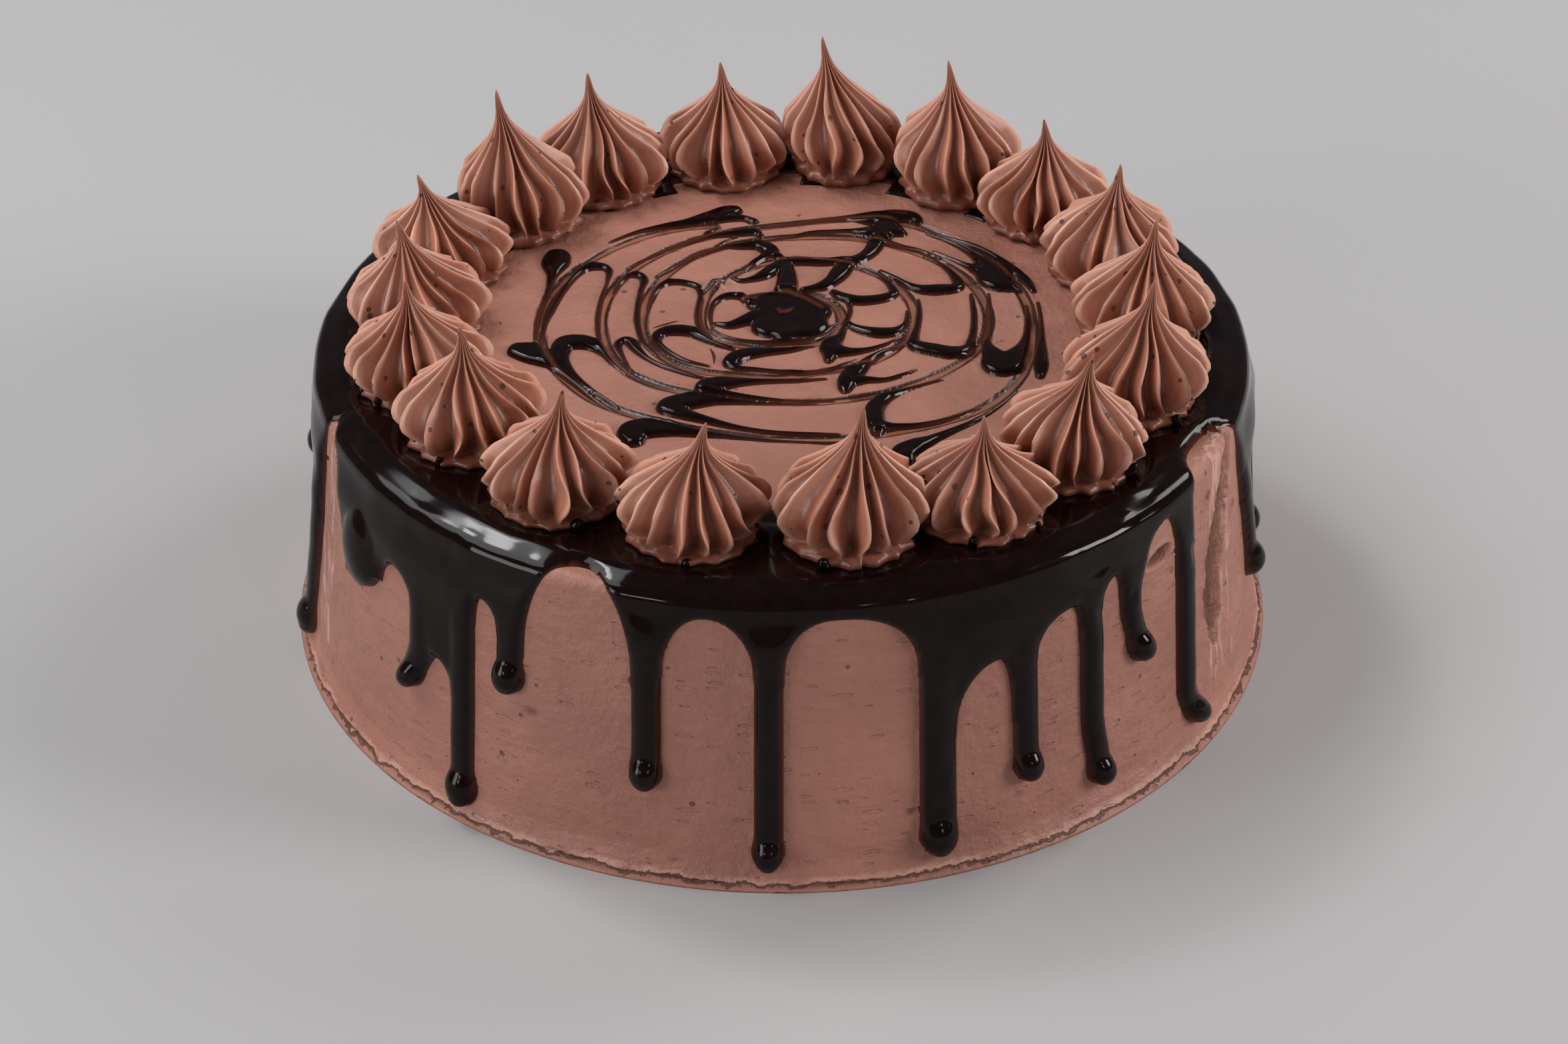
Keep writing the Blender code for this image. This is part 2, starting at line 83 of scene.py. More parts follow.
# Strokes of the web: x, y and half width along each, outside the spiral and then gap by gap inward
WEB_STROKES = (
    ((32.8, 53.2, 1.4), (31.8, 55.2, 2.1), (28.0, 55.8, 2.5), (23.5, 55.3, 2.2), (17.5, 55.2, 1.2),
     (10.0, 54.4, 0.8), (2.0, 52.5, 0.6), (-6.0, 51.0, 0.5)),
    ((-6.8, 53.6, 1.4), (-9.0, 55.2, 1.3), (-12.5, 55.5, 1.8), (-16.0, 54.5, 1.8)),
    ((-11.5, 59.0, 2.0), (-14.0, 57.5, 2.8), (-18.0, 55.0, 2.4), (-23.0, 52.6, 1.7), (-29.0, 50.6, 1.2),
     (-35.0, 48.0, 0.9), (-41.5, 43.5, 0.5)),
    ((-53.5, 36.3, 3.4), (-53.8, 33.5, 3.4), (-54.0, 29.5, 1.9), (-54.4, 25.0, 1.1), (-55.0, 18.0, 0.7),
     (-56.2, 8.0, 0.6), (-56.3, -3.0, 0.5)),
    ((-59.5, -7.5, 3.0), (-56.5, -8.6, 3.9), (-53.2, -11.5, 2.7), (-50.4, -15.2, 1.4),
     (-46.8, -20.5, 0.8), (-41.5, -27.5, 0.6), (-35.0, -34.5, 0.4)),
    ((-32.2, -45.3, 2.4), (-32.3, -41.5, 3.8), (-28.5, -40.7, 3.3), (-23.5, -41.3, 2.2),
     (-17.0, -42.4, 1.5), (-10.0, -43.7, 1.0), (-3.0, -44.8, 0.8), (4.0, -45.6, 0.6), (12.0, -46.2, 0.5),
     (20.0, -44.9, 0.4)),
    ((27.3, -53.5, 1.6), (26.3, -50.8, 3.0), (28.6, -48.2, 2.6), (32.0, -45.5, 1.7), (37.0, -41.5, 1.1),
     (42.5, -37.0, 0.8), (48.0, -31.0, 0.5), (52.5, -24.0, 0.4)),
    ((58.0, -18.0, 1.1), (58.5, -13.5, 1.7), (59.0, -8.0, 1.4), (59.5, -1.0, 0.8), (59.8, 7.0, 0.6),
     (59.6, 15.0, 0.5)),
    ((58.8, 19.8, 0.9), (57.6, 24.5, 1.4), (54.8, 30.2, 1.5), (51.0, 36.0, 1.3), (46.5, 41.0, 1.0),
     (40.5, 46.0, 0.6), (34.5, 49.8, 0.5)),
    ((28.6, 47.7, 1.7), (26.0, 49.5, 3.0), (24.3, 53.2, 2.7), (20.5, 53.3, 1.6), (15.0, 55.0, 0.8)),
    ((25.0, 48.3, 2.9), (21.0, 47.7, 2.2), (16.5, 48.5, 1.1), (9.0, 48.2, 0.8), (2.0, 46.3, 0.6),
     (-6.0, 44.0, 0.5)),
    ((-5.2, 46.2, 1.0), (-6.5, 48.0, 1.5), (-11.0, 47.8, 1.7), (-16.0, 46.6, 1.5), (-21.0, 44.6, 1.0),
     (-27.0, 40.3, 0.7), (-33.0, 34.5, 0.5), (-37.0, 30.0, 0.3)),
    ((-15.3, 50.2, 0.6), (-18.5, 47.5, 0.7)),
    ((-11.0, 46.0, 0.5), (-13.5, 43.8, 0.5), (-16.0, 41.0, 0.5)),
    ((-55.0, -6.0, 0.5), (-54.6, 4.0, 0.7), (-53.1, 12.0, 0.8), (-51.4, 19.5, 0.8), (-49.2, 26.5, 1.1),
     (-46.8, 30.8, 1.6), (-43.5, 31.7, 1.6), (-41.0, 30.0, 1.1), (-41.0, 25.0, 0.6), (-42.0, 17.0, 0.6),
     (-42.4, 8.0, 0.6), (-41.8, -1.0, 0.6), (-39.8, -8.0, 0.4)),
    ((-36.0, -31.5, 0.5), (-42.0, -24.5, 0.8), (-47.0, -17.0, 1.1), (-50.0, -10.0, 1.9),
     (-49.7, -4.6, 2.7), (-46.0, -3.6, 2.7), (-42.8, -5.0, 2.1), (-40.5, -8.2, 1.1), (-38.0, -13.0, 0.7),
     (-34.5, -17.5, 0.4)),
    ((8.0, -30.0, 0.4), (0.0, -30.0, 0.6), (-7.0, -29.6, 1.0), (-14.0, -28.8, 1.7), (-20.0, -29.3, 3.0),
     (-25.0, -31.6, 2.9), (-22.0, -34.4, 2.1), (-16.5, -37.0, 1.5), (-10.0, -39.8, 1.1),
     (-3.0, -41.6, 0.9), (5.0, -42.6, 0.8), (13.0, -42.9, 0.5)),
    ((36.0, -20.0, 0.4), (31.0, -22.5, 0.7), (26.0, -25.3, 1.2), (22.5, -28.3, 1.8), (20.5, -32.0, 2.3),
     (20.3, -36.5, 2.4), (21.0, -40.0, 2.0), (20.8, -42.3, 1.2)),
    ((22.0, -39.3, 1.7), (27.0, -39.6, 0.9), (33.0, -38.0, 0.8), (39.0, -34.8, 0.6), (44.0, -31.0, 0.4)),
    ((48.4, 19.0, 0.4), (47.9, 10.0, 0.8), (47.2, 3.0, 0.9), (46.7, -3.0, 1.2), (47.8, -8.5, 2.4),
     (49.8, -13.5, 4.6), (52.5, -10.0, 2.8), (54.6, -5.5, 1.7), (56.0, 0.0, 1.0), (56.8, 7.0, 0.8),
     (56.8, 14.0, 0.5)),
    ((35.0, 47.5, 0.5), (40.5, 43.5, 0.8), (45.0, 38.5, 1.2), (47.5, 34.5, 2.0), (49.3, 30.0, 3.8),
     (50.6, 25.0, 4.4), (52.8, 22.5, 2.8), (55.4, 20.0, 1.0)),
    ((47.5, 29.5, 2.5), (44.0, 32.3, 1.1), (40.5, 35.5, 0.7), (36.0, 39.5, 0.5)),
    ((24.5, 46.0, 2.2), (22.5, 42.2, 2.2), (20.9, 38.3, 2.0), (18.2, 35.0, 1.8), (14.0, 34.6, 1.3),
     (8.0, 35.2, 0.9), (3.0, 34.8, 0.8)),
    ((23.5, 44.0, 1.5), (28.0, 41.8, 0.9), (33.0, 39.3, 0.7), (38.0, 35.5, 0.6)),
    ((17.0, 33.2, 1.5), (10.0, 33.7, 1.6), (4.0, 34.0, 1.5), (-1.0, 33.6, 1.4)),
    ((0.6, 34.8, 1.2), (-1.8, 37.2, 1.6), (-3.0, 39.5, 2.3), (-5.5, 41.5, 1.9), (-10.0, 41.3, 1.4),
     (-14.5, 40.6, 1.0), (-19.0, 38.4, 1.0), (-23.0, 34.5, 0.8), (-27.0, 29.8, 0.6), (-30.0, 26.0, 0.4)),
    ((-3.2, 37.6, 1.7), (-5.6, 34.9, 1.1), (-7.8, 32.0, 0.8), (-9.3, 29.5, 0.6)),
    ((-39.3, 18.0, 0.4), (-38.4, 23.5, 0.8), (-36.6, 26.8, 1.3), (-33.7, 27.3, 1.3), (-32.4, 25.0, 1.1),
     (-33.0, 20.0, 0.8), (-33.5, 12.0, 0.8), (-33.1, 4.0, 0.8), (-31.4, -4.0, 0.7), (-28.0, -9.5, 0.6)),
    ((-34.0, -16.0, 0.4), (-36.0, -9.5, 0.6), (-37.3, -4.5, 1.0), (-36.0, -2.6, 1.3), (-34.3, -3.6, 1.6),
     (-33.0, -6.5, 1.3), (-30.0, -11.0, 0.8), (-25.5, -15.0, 0.7), (-19.0, -18.6, 0.6),
     (-12.0, -20.3, 0.5)),
    ((10.0, -19.2, 0.5), (3.0, -20.2, 0.7), (-4.0, -20.4, 0.9), (-10.0, -20.9, 1.7), (-14.5, -22.0, 2.7),
     (-17.2, -23.3, 2.4), (-14.8, -25.0, 1.6), (-10.0, -26.6, 1.0), (-4.0, -28.0, 0.8), (3.0, -28.7, 0.6),
     (12.0, -28.2, 0.4)),
    ((29.0, -4.2, 0.4), (26.0, -5.6, 0.7), (22.5, -8.2, 0.9), (19.5, -11.7, 1.4), (17.0, -15.8, 2.2),
     (15.0, -19.3, 2.5), (14.3, -23.0, 1.8), (14.2, -25.3, 0.8)),
    ((15.5, -20.5, 2.2), (19.0, -20.0, 1.4), (23.0, -20.0, 0.9), (27.0, -18.0, 0.8), (30.5, -15.2, 0.4)),
    ((31.8, 16.0, 0.5), (31.8, 10.0, 0.8), (31.2, 4.0, 0.9), (30.3, -1.0, 1.3), (30.6, -5.0, 2.0),
     (34.5, -7.0, 2.3), (39.0, -8.4, 2.4), (42.0, -6.8, 1.9), (43.3, -2.0, 1.1), (44.2, 4.0, 0.9),
     (44.5, 11.0, 0.8), (44.2, 19.0, 0.5)),
    ((34.0, 37.3, 0.5), (37.8, 33.0, 0.9), (40.3, 28.5, 1.2), (41.5, 24.0, 1.5), (40.7, 21.4, 1.7),
     (36.5, 20.4, 2.1), (32.8, 20.6, 1.8), (30.0, 22.3, 1.4), (26.8, 25.5, 1.0), (23.0, 29.3, 0.7)),
    ((14.5, 5.5, 1.0), (15.8, 10.5, 0.7), (15.6, 14.5, 0.8)),
    ((15.2, 4.8, 1.1), (17.5, 2.7, 1.4), (21.0, 0.9, 1.9), (24.5, 0.7, 1.9), (27.0, 2.4, 1.3),
     (28.6, 5.5, 0.8), (29.2, 11.0, 0.5)),
    ((28.0, -0.5, 0.4), (24.0, -4.0, 0.7), (19.5, -6.6, 1.0), (15.0, -7.6, 1.7), (11.5, -6.8, 2.7),
     (11.5, -3.6, 2.3), (13.2, -0.5, 1.3), (14.3, 4.0, 0.9)),
    ((11.3, -7.5, 2.3), (10.8, -10.3, 1.4), (10.6, -12.0, 0.8)),
    ((12.2, 19.6, 1.2), (14.0, 17.2, 1.8), (17.5, 15.5, 1.9), (21.5, 15.8, 1.8), (25.0, 17.4, 1.6),
     (26.3, 19.5, 1.3), (25.3, 23.5, 1.1), (23.0, 27.0, 0.9), (19.0, 31.0, 0.7)),
    ((15.5, 32.3, 1.9), (13.8, 29.0, 2.5), (11.8, 25.0, 2.1), (9.0, 22.0, 1.8), (5.0, 20.6, 1.3)),
    ((0.8, 33.0, 1.8), (1.2, 29.0, 2.2), (1.2, 24.5, 2.6), (0.8, 20.5, 2.8)),
    ((0.5, 32.5, 1.8), (-2.2, 30.5, 1.9), (-4.0, 28.0, 1.9), (-6.5, 26.0, 1.3), (-9.5, 25.0, 0.9),
     (-12.0, 26.3, 0.6)),
    ((-31.3, 10.0, 0.3), (-30.5, 17.0, 0.6), (-28.8, 22.0, 1.1), (-26.0, 24.2, 1.3), (-22.5, 23.8, 1.2),
     (-19.5, 21.8, 1.1), (-18.9, 17.5, 0.8), (-19.3, 11.0, 0.8), (-18.7, 4.0, 0.9), (-16.3, -1.2, 0.7)),
    ((-16.5, -14.0, 0.6), (-21.5, -11.8, 0.8), (-25.5, -8.0, 0.9), (-28.3, -3.5, 1.1), (-28.0, 0.0, 1.6),
     (-25.0, 1.5, 2.0), (-21.0, 1.0, 2.0), (-18.3, -1.5, 1.3), (-15.0, -4.3, 0.9), (-11.0, -6.4, 0.8)),
    ((7.5, -4.9, 0.5), (2.0, -6.7, 1.0), (-4.0, -7.8, 1.5), (-8.5, -9.0, 2.2), (-11.3, -11.8, 2.2),
     (-10.5, -14.5, 1.3), (-6.0, -15.2, 1.0), (0.0, -16.2, 0.9), (6.0, -16.4, 0.8), (12.0, -14.4, 0.6),
     (17.0, -10.7, 0.4)),
    ((-16.0, 3.5, 0.5), (-16.5, 9.0, 0.6), (-15.8, 14.0, 0.8), (-13.5, 17.2, 1.3), (-10.5, 17.7, 1.5),
     (-8.0, 16.0, 1.3), (-6.5, 12.5, 1.4)),
    ((-15.2, 4.9, 0.7), (-12.0, 4.2, 1.5), (-9.0, 6.0, 1.9), (-5.5, 8.5, 2.5)),
    ((-16.0, 2.5, 0.5), (-13.5, -0.3, 0.6), (-10.0, -2.2, 0.7), (-5.0, -3.2, 0.8), (0.0, -3.2, 0.8),
     (5.5, -2.4, 0.7), (9.5, 0.6, 0.6), (12.0, 4.5, 0.5)),
    ((-29.5, 3.2, 0.25), (-27.0, 4.6, 0.35), (-23.8, 6.5, 0.25)),
    ((-16.3, -6.0, 0.25), (-15.4, -9.0, 0.35), (-15.3, -13.0, 0.25)),
)
# The pool in the middle: circles of x, y and radius
POOL = (
    (2.5, 10.0, 8.3), (-2.0, 13.5, 4.6), (4.5, 5.0, 6.3), (-2.5, 3.5, 4.6), (8.0, 10.5, 3.6),
    (0.5, 1.0, 3.6),
)
WEB_HEIGHT = 1.5
WEB_RIM = 1.5
WEB_CELL, WEB_REACH = 0.34, 68.0
# Radius within which the groove and the torn lump shape the frosting
WEB_ZONE = 70.0
# Brown lines that were drawn through the pool, and the torn lump of frosting beside it
POOL_LINES = (
    ((-5.4, 16.2, 0.4), (-3.0, 17.6, 0.6), (1.3, 17.0, 0.6), (4.1, 15.6, 0.5), (6.8, 13.0, 0.5),
     (9.6, 9.7, 0.3)),
    ((-1.0, 9.7, 0.2), (-0.2, 8.6, 0.5), (1.2, 8.5, 0.6), (2.4, 10.0, 0.3)),
)
TEARS = (
    ((-18.8, 19.8, 0.5), (-17.4, 22.6, 0.9), (-14.8, 24.6, 1.0), (-11.6, 23.6, 0.8), (-9.8, 21.4, 0.4)),
    ((-15.4, 23.4, 0.6), (-13.6, 20.8, 0.8), (-12.4, 18.4, 0.5)),
    ((-18.2, 17.6, 0.4), (-16.4, 20.4, 0.7), (-15.6, 22.6, 0.5)),
)
TEAR_HEIGHT = 1.1

# Degrees between which the body's columns are closest, round the crater and the gash
DENSE_FROM, DENSE_TO = -48.0, -18.0
# Marks in the frosting: angle, height, half width along the side, half height, depth, tilt in degrees
MARKS = (
    (-41.5, 56.5, 3.7, 1.7, 2.2, 10.0), (-30.2, 60.5, 0.9, 1.2, 2.0, 0.0),
    (-31.0, 37.0, 0.9, 0.8, 2.0, 0.0), (-21.3, 48.0, 1.2, 1.7, 2.0, 0.0),
    (-23.0, 71.0, 0.9, 1.0, 1.6, 30.0), (-39.0, 50.0, 0.7, 0.8, 1.0, 0.0),
    (-24.5, 31.0, 0.9, 0.7, 1.6, 0.0), (-20.5, 34.0, 1.0, 0.8, 1.2, 0.0),
    (-37.8, 55.0, 1.1, 0.8, 1.8, 0.0), (-119.0, 33.2, 0.9, 0.8, 1.4, 0.0),
    (-103.5, 57.0, 0.9, 0.6, 0.8, 0.0), (-75.5, 16.0, 1.1, 0.8, 0.9, 0.0),
    (-63.0, 13.5, 1.4, 0.9, 0.6, 0.0), (-94.7, 16.0, 1.4, 0.9, 0.6, 0.0),
    (-101.5, 4.7, 1.0, 0.7, 0.7, 0.0), (-107.0, 47.5, 0.9, 0.8, 0.7, 0.0),
    (-160.5, 58.5, 1.0, 0.7, 0.7, 20.0), (-66.0, 32.0, 0.7, 0.7, 0.6, 0.0),
)
# Patches that were scraped upright: angle of the middle and half width
SCRAPED = ((-26.0, 5.0), (-160.0, 4.0))
# The gash at the right: points of angle, height and half width
GASH = ((-22.8, 70.0, 0.8), (-23.3, 66.0, 2.0), (-24.5, 60.0, 3.0), (-26.0, 53.0, 4.2), (-27.3, 46.5, 4.6),
        (-28.3, 40.0, 4.0), (-28.8, 35.0, 4.2), (-28.6, 29.0, 3.6), (-28.4, 23.0, 2.4), (-28.2, 19.0, 0.6))
GASH_DEPTH = 2.0

# Drips: angle of the end and of the head, height over which the run leans, height of the end,
# half width of the run and of the bulb
DRIPS = (
    (-168.0, -163.5, 45.0, 2.5, 3.4, 4.4), (-147.3, -147.3, 10.0, 40.8, 8.0, 7.6),
    (-137.0, -135.2, 14.0, 25.3, 3.4, 3.3), (-128.3, -128.4, 10.0, 2.8, 3.1, 3.9),
    (-121.8, -121.8, 10.0, 36.5, 3.2, 3.7), (-105.0, -105.0, 10.0, 21.7, 3.2, 3.5),
    (-91.5, -91.4, 10.0, 4.2, 3.0, 3.4), (-72.5, -72.6, 10.0, 4.2, 4.0, 4.1),
    (-61.6, -61.9, 10.0, 17.0, 3.0, 3.4), (-51.6, -52.8, 20.0, 8.0, 3.0, 3.4),
    (-45.0, -46.8, 16.0, 34.0, 2.9, 3.5), (-33.6, -36.3, 13.0, 5.5, 3.3, 3.6),
    (-13.0, -17.5, 45.0, 20.0, 3.4, 3.9), (4.0, 4.0, 10.0, 9.0, 3.2, 3.6),
    (20.0, 19.0, 20.0, 34.0, 3.3, 3.8), (38.0, 38.5, 20.0, 6.0, 3.6, 4.0),
    (50.0, 50.0, 10.0, 27.0, 3.2, 3.5), (68.0, 67.0, 20.0, 13.0, 3.4, 3.8),
    (84.0, 84.0, 10.0, 38.0, 3.3, 3.9), (95.0, 95.5, 20.0, 5.0, 3.4, 3.8),
    (113.0, 113.0, 10.0, 24.0, 3.3, 3.6), (124.0, 123.5, 20.0, 9.0, 3.3, 3.7),
    (142.0, 142.0, 10.0, 33.0, 3.4, 3.9), (158.0, 158.5, 20.0, 14.0, 3.3, 3.6),
    (174.0, 174.0, 10.0, 29.0, 3.2, 3.7),
)
# The bare arch after each drip: angle and height of its top, how far its shoulders fall, squareness
ARCHES = (
    (-159.5, 70.0, 30.0, 1.5), (-140.0, 52.5, 7.0, 2.0), (-132.3, 36.8, 7.0, 2.0),
    (-125.7, 57.0, 7.0, 2.0), (-113.5, 72.3, 26.0, 2.0), (-98.5, 64.5, 14.0, 2.0),
    (-83.5, 64.5, 15.0, 2.4), (-65.3, 49.0, 16.0, 2.0), (-55.6, 55.5, 9.0, 2.0),
    (-49.4, 58.5, 6.0, 2.0), (-40.0, 64.3, 16.0, 2.0), (-28.0, 73.2, 20.0, 2.8),
    (-6.0, 58.0, 14.0, 2.0), (12.0, 61.0, 14.0, 2.0), (30.0, 64.0, 15.0, 2.2),
    (43.5, 50.0, 10.0, 2.0), (59.0, 62.0, 15.0, 2.2), (77.0, 66.0, 16.0, 2.0),
    (90.0, 55.0, 8.0, 2.0), (103.0, 63.0, 15.0, 2.2), (118.0, 50.0, 9.0, 2.0),
    (132.0, 65.0, 16.0, 2.0), (151.0, 60.0, 14.0, 2.2), (167.0, 57.0, 12.0, 2.0),
    (184.0, 62.0, 14.0, 2.0),
)
BAND_THICKNESS, BAND_EDGE = 1.9, 3.0
RUN_THICKNESS, BULB_THICKNESS = 2.4, 4.3
BULB_STRETCH = 1.3
COLLAR_INNER_RADIUS = 77.0
SUNK = 0.7
SHEET_DEPTH = 1.0
COLLAR_COLUMNS, COLLAR_CELL = 960, 0.72

# Piped peaks
PEAK_COUNT = 18
CREST_COUNT = 16
COLUMNS_PER_CREST = 10
PEAK_COLUMNS = CREST_COUNT * COLUMNS_PER_CREST
TWIST_DEG = 10.0
# Share of the height, crest radius, depth of the hollows as a share of that radius
PEAK_PROFILE = np.array((
    (0.00, 13.4, 0.05), (0.025, 14.5, 0.06), (0.05, 14.7, 0.07), (0.07, 14.3, 0.08),
    (0.085, 13.1, 0.20), (0.11, 13.9, 0.26), (0.16, 15.3, 0.30), (0.22, 16.5, 0.31),
    (0.27, 16.7, 0.32), (0.33, 16.0, 0.32), (0.42, 14.1, 0.33), (0.52, 10.1, 0.35),
    (0.60, 7.1, 0.37), (0.67, 4.7, 0.38), (0.73, 3.0, 0.35), (0.78, 2.0, 0.30),
    (0.84, 1.25, 0.24), (0.90, 0.85, 0.18), (0.96, 0.5, 0.10), (1.00, 0.12, 0.0),
))
# How wide a peak is against the profile, by its number, where it isn't 1
PEAK_WIDTHS = {6: 0.99, 7: 1.03, 10: 0.91, 13: 0.94}

# Camera, fitted to the photo
CAMERA_TARGET = Vector((0.0005, 0.0, 0.0174))
CAMERA_DISTANCE = 0.784
CAMERA_ELEVATION_DEG = 34.0
CAMERA_LENS = 75.7

# Softboxes: direction, distance and sides in metres, watts and colour. The key and the small glint stand
# over the left, the second over the back right, two low at the sides and two small ones in front.
WARM = (1.0, 0.985, 0.97)
LIGHTS = {
    "key": ((-0.55, 0.17, 0.80), 1.3, (1.0, 0.7), 9.5, (0.98, 0.99, 1.0)),
    "glint": ((-0.42, 0.36, 0.80), 1.3, (0.2, 0.2), 2.6, (1.0, 1.0, 1.0)),
    "second": ((0.62, 0.45, 0.62), 1.3, (0.4, 0.4), 4.5, (1.0, 0.99, 0.98)),
    "left": ((-0.82, -0.52, 0.26), 1.7, (0.6, 0.7), 9.5, WARM),
    "right": ((0.90, -0.20, 0.40), 1.7, (0.5, 0.6), 16.5, WARM),
    "front_left": ((-0.52, -0.80, 0.34), 1.7, (0.2, 0.2), 1.4, WARM),
    "front_right": ((0.40, -0.85, 0.34), 1.7, (0.2, 0.2), 1.0, WARM),
}


def smoothstep(low, high, value):
    """0 below low, 1 above high, and an even rise between them."""
    share = np.clip((value - low) / (high - low), 0.0, 1.0)
    return share * share * (3.0 - 2.0 * share)


def smooth_max(a, b, blend):
    """The larger of two fields, with the crease between them filled over a distance."""
    near = np.clip(blend - np.abs(a - b), 0.0, None)
    return np.maximum(a, b) + near * near / (4.0 * blend)


def wrap_deg(degrees):
    """Degrees from -180 to 180."""
    return (degrees + 180.0) % 360.0 - 180.0


def polar(radius, degrees, height):
    """Points from radii, angles and heights."""
    angle = np.radians(degrees)
    return np.stack(np.broadcast_arrays(radius * np.cos(angle), radius * np.sin(angle), height), axis=-1)


def waves(points, length, count, seed):
    """Smooth unevenness of about -1 to 1: plane waves of about one length in random directions."""
    rng = np.random.default_rng(seed)
    total = np.zeros(points.shape[:-1])
    for _ in range(count):
        direction = rng.normal(size=3)
        direction *= 2 * math.pi / (length * rng.uniform(0.7, 1.5) * np.linalg.norm(direction))
        total += np.sin(points @ direction + rng.uniform(0.0, 2 * math.pi))
    return total / math.sqrt(count)


def side_radius(height):
    """Radius of the body's side at a height."""
    heights = (0.0, FLARE_HEIGHT, SKIRT_HEIGHT, SIDE_TOP)
    return np.interp(height, heights, (BASE_RADIUS, FLARE_RADIUS, SKIRT_RADIUS, SHOULDER_RADIUS))


def skin_point(degrees, up, lift):
    """A point on the body's skin, or lifted off it: up runs up the side and in over the top."""
    degrees, up, lift = np.broadcast_arrays(degrees, up, lift)
    turn = np.clip((up - SIDE_TOP) / EDGE_ROUND, 0.0, math.pi / 2)
    radius = np.where(up < SIDE_TOP, side_radius(up), FLAT_RADIUS + EDGE_ROUND * np.cos(turn))
    radius = np.where(up > EDGE_END, CENTRE - up, radius)
    height = np.where(up < SIDE_TOP, up, SIDE_TOP + EDGE_ROUND * np.sin(turn))
    return polar(radius + lift * np.cos(turn), degrees, height + lift * np.sin(turn))


def skin_lift(degrees, up):
    """Low unevenness of the frosting, which the ganache follows too."""
    points = skin_point(degrees, up, np.zeros(np.broadcast(degrees, up).shape))
    flatten = smoothstep(0.0, 5.0, up)
    return flatten * (0.16 * waves(points, 55.0, 7, 1) + 0.07 * waves(points * (1, 1, 2.5), 24.0, 7, 2))


def mesh_object(name, points, faces, material, attributes=None):
    """A smooth mesh piece from points in millimetres, which rides on the cake."""
    mesh = bpy.data.meshes.new(name)
    mesh.from_pydata((points.reshape(-1, 3) * MM).tolist(), [], faces)
    mesh.materials.append(material)
    mesh.shade_smooth()
    for label, values in (attributes or {}).items():
        layer = mesh.attributes.new(label, "FLOAT", "POINT")
        layer.data.foreach_set("value", np.ascontiguousarray(values, dtype=np.float32).ravel())
    obj = bpy.data.objects.new(name, mesh)
    bpy.context.collection.objects.link(obj)
    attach(obj, "root")
    return obj


def ring_faces(rows, columns, start=0):
    """Quads of a closed tube of rows, each of so many points, that turns counter-clockwise upward."""
    row, column = np.meshgrid(np.arange(rows - 1), np.arange(columns), indexing="ij")
    after = (column + 1) % columns
    quads = np.stack((row * columns + column, row * columns + after,
                      (row + 1) * columns + after, (row + 1) * columns + column), axis=-1)
    return (quads.reshape(-1, 4) + start).tolist()


def cap_faces(ring_start, columns, pole, upward):
    """Triangles from a ring to one pole."""
    faces = []
    for column in range(columns):
        a = ring_start + column
        b = ring_start + (column + 1) % columns
        faces.append((a, b, pole) if upward else (b, a, pole))
    return faces


def closed_tube(points, low, high, start=0):
    """Points and faces of a tube whose rows climb from one pole to another."""
    rows, columns = points.shape[:2]
    low_pole = start + rows * columns
    faces = ring_faces(rows, columns, start)
    faces += cap_faces(low_pole - columns, columns, low_pole + 1, True)
    faces += cap_faces(start, columns, low_pole, False)
    return np.concatenate((points.reshape(-1, 3), (low, high))), faces


def highest_corner(values):
    """The highest of the four corners of each cell of a grid."""
    upper = np.maximum(values[:-1, :-1], values[:-1, 1:])
    return np.maximum(upper, np.maximum(values[1:, :-1], values[1:, 1:]))


def fill_pinches(keep):
    """Keeps two cells side by side wherever kept cells would meet at a corner only."""
    while True:
        a, b = keep, np.roll(keep, -1, axis=1)
        c, d = np.roll(keep, -1, axis=0), np.roll(np.roll(keep, -1, axis=0), -1, axis=1)
        pinch = (a & d & ~b & ~c) | (b & c & ~a & ~d)
        pinch[-1, :] = False
        if not pinch.any():
            return keep
        keep = keep | pinch | np.roll(pinch, 1, axis=1)


def closed_sheet(top, bottom, keep, wrap):
    """Points, faces and used places of the kept cells of a grid, closed by a second face and walls.

    Rows go down the first axis, columns along the second, which may close on itself.
    """
    rows, columns = top.shape[:2]
    index = np.arange(rows * columns).reshape(rows, columns)
    right = np.roll(index, -1, axis=1)
    cells = np.stack((index[:-1], right[:-1], right[1:], index[1:]), axis=-1)
    if not wrap:
        cells = cells[:, :-1]
    quads = cells[keep]
    used = np.unique(quads)
    renumber = np.full(rows * columns, -1)
    renumber[used] = np.arange(len(used))
    quads = renumber[quads]
    count = len(used)
    edges = np.concatenate([quads[:, (i, (i + 1) % 4)] for i in range(4)])
    key = edges[:, 0].astype(np.int64) * count + edges[:, 1]
    twin = edges[:, 1].astype(np.int64) * count + edges[:, 0]
    border = edges[~np.isin(key, twin)]
    walls = np.stack((border[:, 1], border[:, 0], border[:, 0] + count, border[:, 1] + count), axis=-1)
    faces = np.concatenate((quads, quads[:, ::-1] + count, walls))
    points = np.concatenate((top.reshape(-1, 3)[used], bottom.reshape(-1, 3)[used]))
    return points, faces.tolist(), used


def spiral_radius(turned_deg):
    """Radius of the dragged spiral after turning so many degrees from its outer start."""
    table = np.array([radius for turn in SPIRAL_TURNS for radius in turn])
    place = np.clip(turned_deg / SPIRAL_STEP_DEG, 0.0, len(table) - 1.001)
    low = place.astype(int)
    share = place - low
    start, end = table[low], table[low + 1]
    slope_a = (end - table[np.maximum(low - 1, 0)]) / 2
    slope_b = (table[np.minimum(low + 2, len(table) - 1)] - start) / 2
    weight = share * share * (3.0 - 2.0 * share)
    return (start * (1.0 - weight) + end * weight + (share ** 3 - 2 * share ** 2 + share) * slope_a
            + (share ** 3 - share ** 2) * slope_b)


